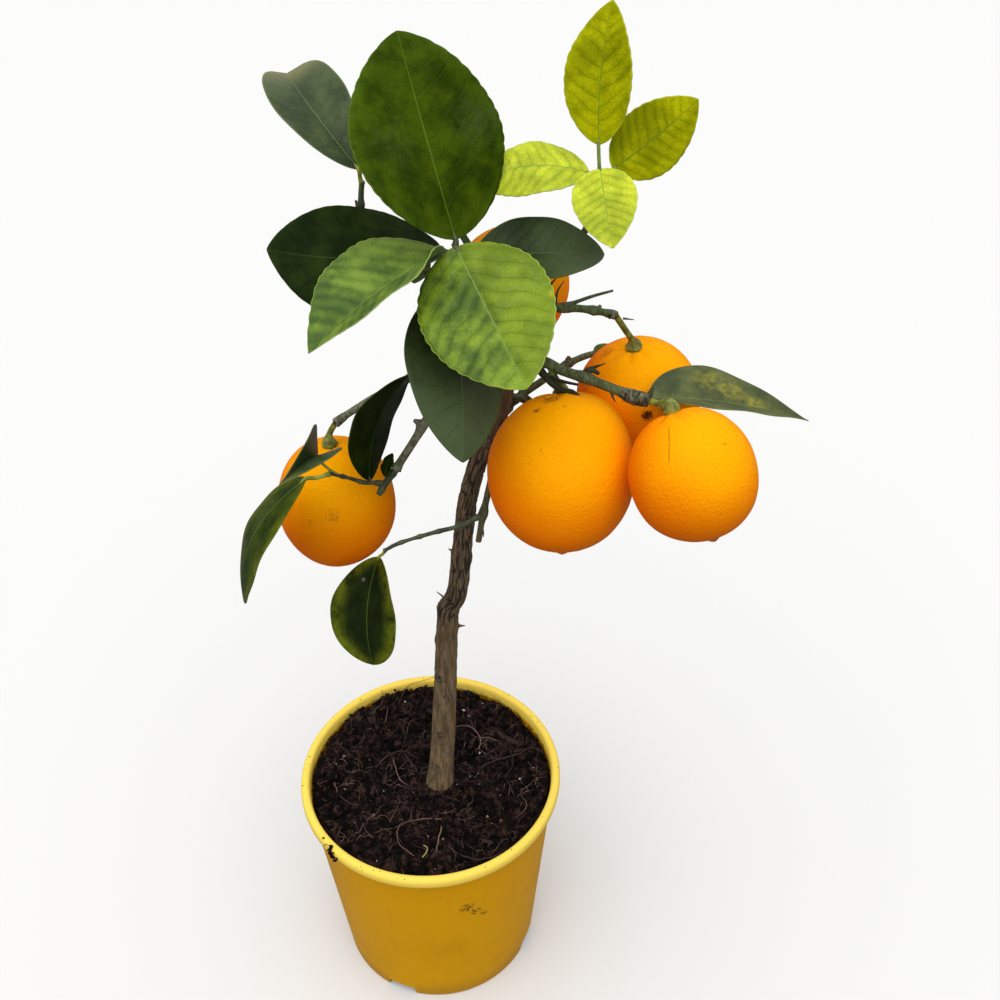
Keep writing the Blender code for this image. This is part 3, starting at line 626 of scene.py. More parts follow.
# swellings: place, reach and height of the bump, and how scabby it is
trunkKnots = [((13.4, -2.6, 327.9), 4, 1.4, 0.2), ((9.1, -3, 300.2), 4, 0.9, 0.1),
              ((34.1, -4.7, 367.2), 4, 0.8, 0.2), ((24.8, -6, 372.4), 3.5, 1.2, 0.3),
              ((22.8, -3.1, 311.5), 3, 0.9, 0.2), ((9.5, -10, 271), 4.5, 0.8, 1.0),
              ((16, -10, 255), 3.5, 0.4, 0.9), ((8, -11, 218.5), 4, 0.5, 0.8),
              ((13, -10.5, 200), 4, 0.4, 0.6), ((4, -10, 186), 4, 0.4, 0.6),
              ((21, -9, 338), 4, 0.6, 0.7), ((46, -10, 455), 5, 0.8, 0.8),
              ((33, -9, 402), 5, 0.7, 0.6), ((8, 6, 236), 6, 1.0, 0.7), ((30, 2, 388), 5, 1.0, 0.5)]
boughKnots = [((10.4, -26, 477), 3, 1.3, 0.2), ((-4.2, -32.5, 452.7), 4, 1.2, 0.8),
              ((-38.6, 2.5, 456), 5, 1.5, 1.0), ((-34, 4.6, 461), 3, 0.6, 0.9),
              ((114.5, -43.3, 503.4), 4, 1.3, 1.0), ((119.2, -45, 503.6), 4, 1.5, 1.0),
              ((123.4, -47.2, 503.4), 4, 1.0, 0.9), ((94.6, -31, 509), 4, 1.2, 0.4),
              ((73, -20, 510), 5, 0.5, 0.2), ((109.7, 3.2, 523.6), 3.5, 1.0, 0.6),
              ((100.1, -0.3, 527.4), 3, 1.1, 0.3), ((85, -2.6, 531.5), 4, 1.0, 0.3),
              ((68, -8, 533), 4, 0.5, 0.2), ((89.4, 23.5, 482), 4, 1.0, 0.5),
              ((62, -5, 505), 6, 0.6, 0.5), ((44, -16, 514), 4, 0.5, 0.3),
              ((24, 1, 502), 4, 0.5, 0.2), ((-12.7, -3, 583.5), 3, 0.9, 0.4),
              ((95, -12, 578.5), 3, 0.6, 0.3), ((42, -17, 411), 4, 1.2, 0.3),
              ((28, -21, 503), 4, 0.5, 0.2), ((48, -22, 544), 5, 0.6, 0.4),
              ((60, 2, 473.5), 4, 0.7, 0.3), ((117, 50, 472.5), 4, 0.6, 0.4)]

# side stubs, thorns and cut ends: places, widths at the two ends, and how dark
trunkSpikes = [([(26, -5, 372.4), (23.4, -4.3, 372.9), (20.4, -4.2, 374.9)], (3.2, 0.5), 0.3),
               ([(16.1, -2, 334.4), (13.6, -0.6, 335.9), (11.6, 0.5, 337)], (1.4, 0.35), 0.3),
               ([(22, -3.1, 311.3), (25.4, -3.1, 311.5), (28.4, -3.2, 311.6)], (3.4, 0.4), 0.3)]
boughSpikes = [([(82, -3.5, 530.5), (88, -1, 532), (99, 4, 533.5), (110, 8, 534.5)], (2.4, 1.3), 0.3),
               ([(80.1, -2, 533), (81.5, -0.2, 539), (84.8, 3.1, 543)], (1.7, 0.4), 0.4),
               ([(99.5, -0.3, 526.9), (102.8, 1.5, 528.6), (103.4, 1.8, 529.6)], (2.0, 1.4), 0.2),
               ([(115.6, 3.4, 521), (118.2, 2.2, 521.2), (121, 2, 520.9)], (1.3, 0.5), 0.2),
               ([(94.2, -31.5, 508.5), (97, -30.1, 511.6), (104.2, -30.6, 515.1)], (2.4, 0.4), 0.6),
               ([(94.3, -30.5, 509.5), (97.5, -30.6, 511.4), (101, -32.6, 510.2)], (2.2, 1.5), 0.6),
               ([(123, -46.6, 503.6), (125, -45, 506.5), (126.4, -43.8, 509.2)], (2.2, 1.4), 0.5),
               ([(106.6, -39.2, 503.9), (107.4, -41, 501.8), (108.4, -42.8, 500.4)], (1.8, 0.4), 0.5),
               ([(69, -17.6, 508.2), (74.5, -25.8, 505.3), (78.9, -29.6, 502.2),
                 (83.8, -32.7, 500.8), (87.7, -34.2, 500.9), (91.2, -37, 499.4)], (4.4, 2.4), 0.65),
               ([(76.5, -26.4, 504.4), (80, -28.6, 504.9), (84.3, -30, 504.2), (90.5, -32.8, 504.3)],
                (2.2, 1.2), 0.7),
               ([(62, 5, 476.4), (65.5, 4.6, 474), (69.4, 3.2, 471.6)], (3.4, 2.4), 0.3),
               ([(89, 24, 481.5), (89.3, 24.8, 484), (89.9, 25.2, 486)], (2.4, 1.4), 0.3),
               ([(10.8, -25.4, 477.4), (8.6, -25.2, 478.8), (7.2, -25.2, 479.4)], (3.0, 1.4), 0.2),
               ([(41, -17.6, 400), (41.4, -18, 397.5), (41.4, -18.2, 394.8)], (1.5, 0.4), 0.4),
               ([(42.5, -15.5, 411), (39, -17.6, 409), (36.8, -18.6, 407.8)], (3.2, 2.2), 0.2),
               ([(92, -13.4, 573.5), (94, -12.6, 576.6), (97.4, -12.2, 578.6)], (1.6, 0.5), 0.3),
               ([(-12.6, -4.6, 581), (-14.2, -3.4, 586), (-14.8, -2.6, 589.4)], (2.2, 1.2), 0.5),
               ([(76, -17, 548.8), (77.6, -17, 552), (79.6, -17.4, 554.6)], (1.8, 0.6), 0.4),
               ([(40.6, -31.4, 562.6), (30, -34.4, 561.4), (19, -39, 566)], (2.6, 1.6), 0.2),
               ([(50, -14, 530), (45.4, -12, 535), (42.6, -10.6, 539.4)], (2.0, 0.5), 0.4)]


def barkRelief(shape, knots, furrows, amount, dark=0.0):
    # each skin point moves out by knots and ridges, and in along the furrows between them
    furrowShadeAndDark = shape.verts.layers.float["furrowShadeAndDark"]
    scab = shape.verts.layers.float["scab"]

    def relief(vert, out, middle, radius):
        height = middle.z / mm
        deep = smoothStep(furrows[0], furrows[1], height) * (1 - smoothStep(furrows[2], furrows[3],
                                                                           height))
        x, y = out.x * radius / mm, out.y * radius / mm
        bend = noise.noise(Vector((x * 0.15, y * 0.15, height * 0.06))) * 1.3
        wide = noise.noise(Vector((x * 0.50 + bend, y * 0.50 + bend, height * 0.050)))
        thin = noise.noise(Vector((x * 0.95 - bend, y * 0.95, height * 0.085 + 9)))
        crack = smoothStep(0.19, 0.03, abs(wide))
        hair = smoothStep(0.12, 0.02, abs(thin))
        dip = deep * max(crack, hair * 0.55) + (1 - deep) * 0.30 * hair
        ridge = noise.noise(Vector((x * 0.6, y * 0.6, height * 0.12)))
        grain = noise.noise(middle / mm * 0.5 + out * 3)
        move = amount * (0.45 * ridge + 0.15 * grain - 0.85 * dip)
        rough = 0.0
        for place, reach, rise, scabby in knots:
            near = math.exp(-((vert.co - inMetres(place)).length / mm / reach) ** 2)
            move += rise * near
            rough = max(rough, scabby * smoothStep(0.12, 0.6, near))
        flakes = noise.noise(vert.co / mm * 1.1)
        move += rough * flakes * 0.7
        vert.co += out * move * mm
        # furrows and cracks are marked for painted shade, stubs and flaking scabs for their own dark
        vert[furrowShadeAndDark] = min(1.0, max(dip, dark, rough * max(0.0, -flakes) * 2.2))
        vert[scab] = rough
    return relief


def barkLook(name, low, high, start, end, speckled, greyed):
    look = Look(name, Roughness=0.85, Specular_IOR_Level=0.25)
    height = look.axis(2)
    dip = look.own("furrowShadeAndDark")
    scab = look.own("scab")
    streaks = look.clouds(1, 5, 0.62, look.stretched((520, 520, 60)))
    blotch = look.clouds(95, 3)
    share = look.fade(height + (blotch - 0.5) * 0.05, start * mm, end * mm)
    colour = look.blend(low[0], high[0], share)
    light = look.blend(low[1], high[1], share)
    colour = look.blend(colour, light, look.fade(streaks, 0.34, 0.68))
    # the boughs on the left have a grey skin
    grey = (1 - look.fade(look.axis(0), 0.002, 0.046)) * look.fade(look.clouds(300, 4, 0.7), 0.42, 0.60)
    colour = look.blend(colour, (0.34, 0.34, 0.27), grey * greyed)
    # warm brown patches on the older wood
    warm = look.fade(look.clouds(55, 4, 0.65), 0.50, 0.66) * (1 - share)
    colour = look.blend(colour, (0.17, 0.085, 0.040), warm * 0.5)
    # thin pale scratches, breathing pores and scabby rings at the old leaf joints
    pores = (1 - look.fade(look.cells(520), 0.12, 0.3)) * look.fade(look.clouds(240, 1), 0.5, 0.62)
    colour = look.blend(colour, (0.36, 0.34, 0.25), pores * speckled)
    flaky = look.blend((0.035, 0.024, 0.016), (0.24, 0.21, 0.16), look.fade(look.clouds(420), 0.4, 0.66))
    colour = look.blend(colour, flaky, scab * look.fade(look.clouds(330, 2), 0.34, 0.56) * 0.9)
    # painted shade in the furrows and cracks, with the real dark of cut stubs and flaking scabs
    colour = look.blend(colour, (0.012, 0.008, 0.005), look.fade(dip, 0.12, 0.75) * 0.88)
    look.paint("Base Color", colour)
    look.paint("Roughness", 0.92 - share * 0.25)
    look.relief(streaks + look.clouds(900, 3) * 0.5, 0.7, 0.6)
    return look


def startBark():
    shape = bmesh.new()
    shape.loops.layers.uv.new("barkMap")
    shape.verts.layers.float.new("furrowShadeAndDark")
    shape.verts.layers.float.new("scab")
    return shape


def addSpikes(shape, spikes, knots, amount):
    for places, widths, dark in spikes:
        path = evenPath(smoothPath([inMetres(place) for place in places], 8), 0.8 * mm)
        last = len(path) - 1
        radii = [(widths[0] + (widths[1] - widths[0]) * i / last) / 2 * mm for i in range(last + 1)]
        growTube(shape, path, radii, 12, barkRelief(shape, knots, (0, 1, 2, 3), amount, dark))


def makeTrunk():
    shape = startBark()
    path = evenPath(smoothPath([inMetres(place) for place in trunk["places"]], 16),
                    trunk["step"] * mm)
    last = len(path) - 1
    radii = []
    for i, point in enumerate(path):
        above = (point.z - path[0].z) / mm
        flare = trunk["flare"] * max(0.0, 1 - above / trunk["flareHeight"]) ** 2
        first, end = trunk["widths"]
        radii.append(((first + (end - first) * i / last) / 2 + flare) * mm)
    relief = barkRelief(shape, trunkKnots, trunk["furrows"], 0.8)
    growTube(shape, path, radii, trunk["around"], relief)
    foot = trunk["foot"][2] * mm
    for vert in shape.verts:
        if vert.co.z < foot + 1.2 * mm:
            vert.co.z = foot
    addSpikes(shape, trunkSpikes, [], 0.15)
    bmesh.ops.recalc_face_normals(shape, faces=shape.faces)
    look = barkLook("trunkBark", ((0.092, 0.061, 0.031), (0.240, 0.165, 0.090)),
                    ((0.092, 0.062, 0.034), (0.205, 0.142, 0.082)), 290, 350, 0.25, 0.0)
    finishPiece("trunkBark", shape, [look], "bark", ["trunk"], 70)


def makeBoughs():
    shape = startBark()
    relief = barkRelief(shape, boughKnots, (0, 1, 2, 3), 0.3)
    for name, (places, widths) in boughs.items():
        path = evenPath(smoothPath([inMetres(place) for place in places], 12), 0.9 * mm)
        last = len(path) - 1
        radii = [(widths[0] + (widths[1] - widths[0]) * i / last) / 2 * mm for i in range(last + 1)]
        growTube(shape, path, radii, 28, relief)
    addSpikes(shape, boughSpikes, boughKnots, 0.2)
    bmesh.ops.recalc_face_normals(shape, faces=shape.faces)
    look = barkLook("greenBark", ((0.050, 0.060, 0.024), (0.150, 0.155, 0.075)),
                    ((0.045, 0.068, 0.020), (0.115, 0.155, 0.055)), 420, 560, 0.6, 0.5)
    finishPiece("boughBark", shape, [look], "green_wood", boughNodes, 70)


makeTrunk()
makeBoughs()
print("wood made")


# the lemons

lemons = {
    "lemonCentre": dict(node="lemon_centre", centre=(82.6, -46.6, 460.2), width=76.5, length=82.4,
                        azimuth=90, lean=30, stalk=[(76.5, -22, 509.5), (79, -24.5, 505)],
                        bumps=[((100, -40, 492), 22, 3.0), ((75.6, -39, 499.5), 5, -0.7)],
                        scars=[((69.9, -46.1, 498.4), 3.4, 0.9), ((83.4, -48.1, 500.6), 2.6, 0.8),
                               ((71.1, -68, 489.9), 1.6, 0.6), ((77, -38, 500.4), 10, 0.8)]),
    "lemonRight": dict(node="lemon_right", centre=(143, -79.3, 482.1), width=62.2, length=65.6,
                       azimuth=122, lean=36, stalk=[(123.5, -46.7, 503.4), (129.9, -55, 506)], bumps=[],
                       scratch=((129.1, -81.9, 511), (127.9, -96.7, 503.1)),
                       scars=[((153.4, -91.9, 508.6), 2.2, 0.6), ((153.6, -96.4, 454.4), 4.5, 1.0)]),
    "lemonUpper": dict(node="lemon_upper", centre=(127.2, 12, 467.7), width=68, length=66.6,
                       azimuth=200, lean=8, stalk=[(111.5, 3.8, 522.8), (117, 7, 513)], bumps=[],
                       scars=[((128.1, -20.3, 476.7), 5, 1.0), ((109, 14, 496), 8, 0.5)]),
    "lemonBack": dict(node="lemon_back", centre=(58, 41, 520), width=64, length=68,
                      azimuth=0, lean=25, stalk=[(74.7, 31.4, 556.9), (76, 38, 557)], bumps=[],
                      scars=[((86, 20, 530), 7, 0.4)]),
    "lemonLeft": dict(node="lemon_left", centre=(-42, 0, 408), width=68, length=78,
                      azimuth=100, lean=4, stalk=[(-37.4, 5.0, 459.5), (-41.5, 4.5, 453)], bumps=[],
                      scars=[((-39.4, -30.8, 422.5), 7, 0.35), ((-45, -30, 431), 4, 0.6),
                             ((-52.5, -31, 417.3), 2.5, 0.4)]),
}
# deep is the painted shade on the side away from the light, and the tone of the pores
fruit = dict(nipple=2.0, nippleReach=2.8, rind=(1.0, 0.405, 0.0008), deep=(1.0, 0.185, 0.0005),
             brown=(0.10, 0.035, 0.010), stalkWidth=3.3, buttonWidth=9, litFrom=(0.2, -0.45, 0.87))


def lemonLook(name, fixed):
    look = Look(name, Specular_IOR_Level=0.02, Subsurface_Weight=0.05, Subsurface_Scale=0.004)
    # painted light and shade: clear yellow on the side the light comes from, deeper orange on the side away
    # from it
    high = Vector(fixed["centre"]) + Vector(fruit["litFrom"]) * fixed["width"] / 2
    litSide = look.spot(high, fixed["width"] * 1.02) + (look.clouds(30, 3) - 0.5) * 0.35
    colour = look.blend(fruit["deep"], fruit["rind"], look.fade(litSide, 0.0, 1.0))
    pores = look.cells(780, "SMOOTH_F1")
    colour = look.blend(colour, fruit["deep"], (1 - look.fade(pores, 0.05, 0.4)) * 0.22)
    flecks = (1 - look.fade(look.cells(330), 0.05, 0.13)) * look.fade(look.clouds(70, 1), 0.60, 0.66)
    colour = look.blend(colour, fruit["brown"], flecks * 0.8)
    for place, reach, strength in fixed["scars"]:
        ground = 0.1 if strength < 1 else 0.6  # the strongest scars are solid
        mask = look.spot(place, reach) * (ground + look.fade(look.clouds(650, 4, 0.8), 0.40, 0.60))
        colour = look.blend(colour, fruit["brown"], look.fade(mask, 0.15, 0.75) * strength)
    if "scratch" in fixed:
        start, end = (inMetres(place) for place in fixed["scratch"])
        slant = (end.x - start.x) / (end.y - start.y)
        beside = abs(look.axis(0) - look.axis(1) * slant - (start.x - start.y * slant))
        line = (1 - look.fade(beside, 0.0, 0.0004)) * look.fade(
            look.spot(start.lerp(end, 0.5) / mm, (end - start).length * 0.75 / mm), 0.0, 0.4)
        colour = look.blend(colour, fruit["brown"], line * 0.7)
    look.paint("Base Color", colour)
    look.paint("Roughness", 0.44 + look.clouds(120) * 0.16)
    look.relief(pores + look.clouds(260, 3) * 0.7, 0.5, 0.6)
    return look


def makeLemon(name, fixed, seed):
    up = heading(fixed["azimuth"], 90 - fixed["lean"])
    centre = inMetres(fixed["centre"])
    width, length = fixed["width"], fixed["length"]
    shape = bmesh.new()
    bmesh.ops.create_uvsphere(shape, u_segments=112, v_segments=72, radius=1.0)
    for vert in shape.verts:
        angle = math.acos(max(-1.0, min(1.0, -vert.co.z)))
        turn = math.atan2(vert.co.y, vert.co.x)
        radius = width / 2 * max(0.0, math.sin(angle)) ** 0.94
        height = -length / 2 * math.cos(angle)
        if height < 0:
            height -= fruit["nipple"] * math.exp(-(radius / fruit["nippleReach"]) ** 2)
        else:  # a shallow dish with soft pleats round the stalk
            height -= 1.1 * math.exp(-(radius / 7) ** 2)
            height -= 0.5 * math.exp(-((radius - 9) / 5) ** 2) * (1 + math.cos(turn * 7 + seed))
        place = Vector((radius * math.cos(turn), radius * math.sin(turn), height))
        uneven = noise.noise(place / 26 + Vector((seed, 0, 0))) * 0.9 * (radius / width * 2)
        dimples = noise.noise(place / 2.2 + Vector((0, seed, 0))) * 0.10
        vert.co = place * (1 + (uneven - 0.6 + dimples) / width * 2) * mm
    turn = Vector((0, 0, 1)).rotation_difference(up).to_matrix().to_4x4()
    bmesh.ops.transform(shape, matrix=Matrix.Translation(centre) @ turn, verts=shape.verts)
    for place, reach, rise in fixed["bumps"]:
        for vert in shape.verts:
            away = (vert.co - inMetres(place)).length / mm
            vert.co += (vert.co - centre).normalized() * rise * math.exp(-(away / reach) ** 2) * mm
    finishPiece(name, shape, [lemonLook(name + "Rind", fixed)], "rind", [fixed["node"]])


def addStalk(shape, fixed):
    # the stalk, and the green button that it flares into
    up = heading(fixed["azimuth"], 90 - fixed["lean"])
    top = inMetres(fixed["centre"]) + up * fixed["length"] / 2 * mm
    places = [inMetres(place) for place in fixed["stalk"]] + [top + up * 2.2 * mm, top - up * 3 * mm]
    path = evenPath(smoothPath(places, 8), 0.8 * mm)
    last = len(path) - 1
    radii = []
    for point in path:
        near = (point - top).dot(up) / mm
        swell = smoothStep(7, 0.5, near) if (point - top).length < 9 * mm else 0.0
        radii.append((fruit["stalkWidth"] / 2 + swell ** 2 * 2.5) * mm)
    growTube(shape, path, radii, 14)
    disc = bmesh.ops.create_uvsphere(shape, u_segments=30, v_segments=10, radius=1.0)["verts"]
    turn = Vector((0, 0, 1)).rotation_difference(up).to_matrix().to_4x4()
    for vert in disc:
        lobes = 1 + 0.06 * math.cos(5 * math.atan2(vert.co.y, vert.co.x))
        wide = fruit["buttonWidth"] / 2 * lobes * mm
        vert.co = Vector((vert.co.x * wide, vert.co.y * wide, vert.co.z * 1.3 * mm))
    bmesh.ops.transform(shape, matrix=Matrix.Translation(top - up * 0.3 * mm) @ turn, verts=disc)


def makeStalks():
    shape = bmesh.new()
    shape.loops.layers.uv.new("stalkMap")
    for fixed in lemons.values():
        addStalk(shape, fixed)
    bmesh.ops.recalc_face_normals(shape, faces=shape.faces)
    look = Look("fruitStalk", Roughness=0.6)
    tone = look.clouds(260, 4)
    colour = look.blend((0.070, 0.090, 0.008), (0.26, 0.27, 0.03), look.fade(tone, 0.35, 0.65))
    colour = look.blend(colour, (0.08, 0.04, 0.015), look.fade(look.clouds(140, 3), 0.60, 0.72) * 0.7)
    look.paint("Base Color", colour)
    look.relief(look.clouds(700, 3), 0.6, 0.4)
    finishPiece("fruitStalks", shape, [look], "green_wood", sharp=60)


for number, (name, fixed) in enumerate(lemons.items()):
    makeLemon(name, fixed, number * 3.7)
makeStalks()
print("lemons made")


# the leaves

def leaf(at, base, azimuth, elevation, roll, length, width, arch=0.05, fold=8, widest=0.46,
         twist=0, sweep=0.0, twig=None, blunt=0.0, teeth=0.0, quilt=0.12, ripple=0.5, curls=()):
    # where the petiole leaves its stem, the blade's base, and how the blade lies and ends
    return dict(at=at, base=base, azimuth=azimuth, elevation=elevation, roll=roll, length=length,
                width=width, arch=arch, fold=fold, widest=widest, twist=twist, sweep=sweep,
                twig=twig, blunt=blunt, teeth=teeth, quilt=quilt, ripple=ripple, curls=curls)


# each spray that faces the front: the CAD node, the stem, its side twigs, and leaves by kind
sprays = {
    "topSpray": dict(node="top_spray", stem=[(36.8, -35.1, 573.2), (33.5, -39, 579),
                                             (32.5, -40.5, 583)], widths=(3.4, 2.4), twigs=[], leaves=[
        ("deepLeaf", leaf(1.0, (33, -40, 586), 120, 59, 8, 92, 80, 0.025, 4, 0.42, -34, 0.02,
                          blunt=0.12, teeth=0.6, quilt=0.26)),
        ("shadeLeaf", leaf(0.5, (25.8, -33.4, 578.3), 178, 0, -21, 80, 65, -0.025, 1, 0.44, -50, 0.046,
                           teeth=0.2)),
        ("freshLeaf", leaf(0.8, (27.2, -44.6, 582.7), 218, -19, 6, 77, 58, 0.035, 22, 0.40, -6, -0.02,
                           teeth=0.8, quilt=0.45, ripple=0.8, curls=[(1, 0.14, 0.14, 5)])),
        ("brightLeaf", leaf(0.9, (33, -43, 584), 295, -26, 22, 79, 60, 0.0, 5, 0.45, 8, 0.0,
                            teeth=0.8, quilt=0.65, ripple=0.7)),
        ("sheenLeaf", leaf(0.1, (28, -37, 557), 276, -39, -29, 81, 52, 0.10, -11, 0.44, 8, -0.02)),
        ("sheenLeaf", leaf(0.2, (41, -30, 573), 6, -3, 26, 61, 37, 0.04, 14, 0.48, -9, -0.01)),
    ]),
    "upperLeftSpray": dict(node="upper_left_spray", stem=[(-12.4, -5, 583), (-12, -4, 592),
                                                          (-11, -3.5, 599)], widths=(3.4, 2.4),
                           twigs=[], leaves=[
        ("greyLeaf", leaf(0.9, (-12, -4, 605), 124, 21.7, -11, 72, 39.2, 0.115, 24, 0.595, 18, 0.058,
                          blunt=0.36)),
    ]),
    "youngSpray": dict(node="young_spray", stem=[(94.6, -12.1, 578.8), (97.5, -11, 592),
                                                 (99, -11, 604)], widths=(2.4, 1.8), twigs=[], leaves=[
        ("youngLeaf", leaf(1.0, (98, -10, 617), 78, 59, -9, 63, 33, 0.05, 20, 0.43, -24, 0.02,
                           teeth=0.4, quilt=0.3)),
        ("youngLeaf", leaf(0.95, (105, -11, 606), 34, 24, 56, 54, 32, -0.02, -4, 0.44, 0, -0.02,
                           teeth=0.4, quilt=0.3)),
        ("limeLeaf", leaf(0.97, (94, -12, 605), 167, -8, -28, 51, 31, 0.12, -6, 0.52, -14, -0.015,
                          teeth=0.4, quilt=0.3)),
        ("limeLeaf", leaf(1.0, (99, -13, 607), 276, -32, 10, 42, 30, 0.05, 13, 0.44, 4, -0.01,
                          teeth=0.4, quilt=0.3)),
    ]),
    "rightSpray": dict(node="right_spray", stem=[(121, -44, 504), (122.4, -40.5, 501.8),
                                                 (123.2, -38.2, 500.2)], widths=(3.4, 2.4), twigs=[],
                       leaves=[
        ("blotchedLeaf", leaf(1.0, (125.8, -34, 496.6), 1.8, -11.5, -4.4, 85, 49.5, 0.043, 18, 0.325,
                              7.6, 0.0, quilt=0.2)),
    ]),
    "leftSpray": dict(node="left_spray", stem=[(-2.2, -32.1, 455), (-9, -34, 446), (-13, -36, 440)],
                      widths=(4.2, 3.4),
                      twigs=[([(-9, -34, 446.5), (-19, -40, 451), (-26, -44, 457), (-35, -48, 463)],
                              (2.6, 1.8))], leaves=[
        ("shadeLeaf", leaf(0.6, (-17, -36, 449), 31, 64, -68, 62, 36, 0.10, 9, 0.49, 2, -0.04)),
        ("shadeLeaf", leaf(0.3, (-9, -34, 450), 60, 50, -20, 13, 9)),
        ("oliveLeaf", leaf(1.0, (-47, -52, 463), 201, -59, 8, 81, 45, 0.15, -5, 0.48, -12, 0.03, 0)),
        ("greyLeaf", leaf(0.85, (-40, -48, 471.5), 251.5, 17.5, -39.8, 43.6, 35, 0.18, 60, 0.34, -30,
                          -0.043, 0)),
    ]),
    "lowSpray": dict(node="low_spray", stem=[(41, -17, 411), (30, -19.5, 405), (14, -22, 402),
                                             (-5, -27, 399), (-14, -29, 395)], widths=(2.8, 2.0),
                     twigs=[], leaves=[
        ("edgedLeaf", leaf(0.97, (-17, -29, 391), 261, -58, 22, 62, 45, 0.08, 12, 0.51, -34, -0.04)),
    ]),
}

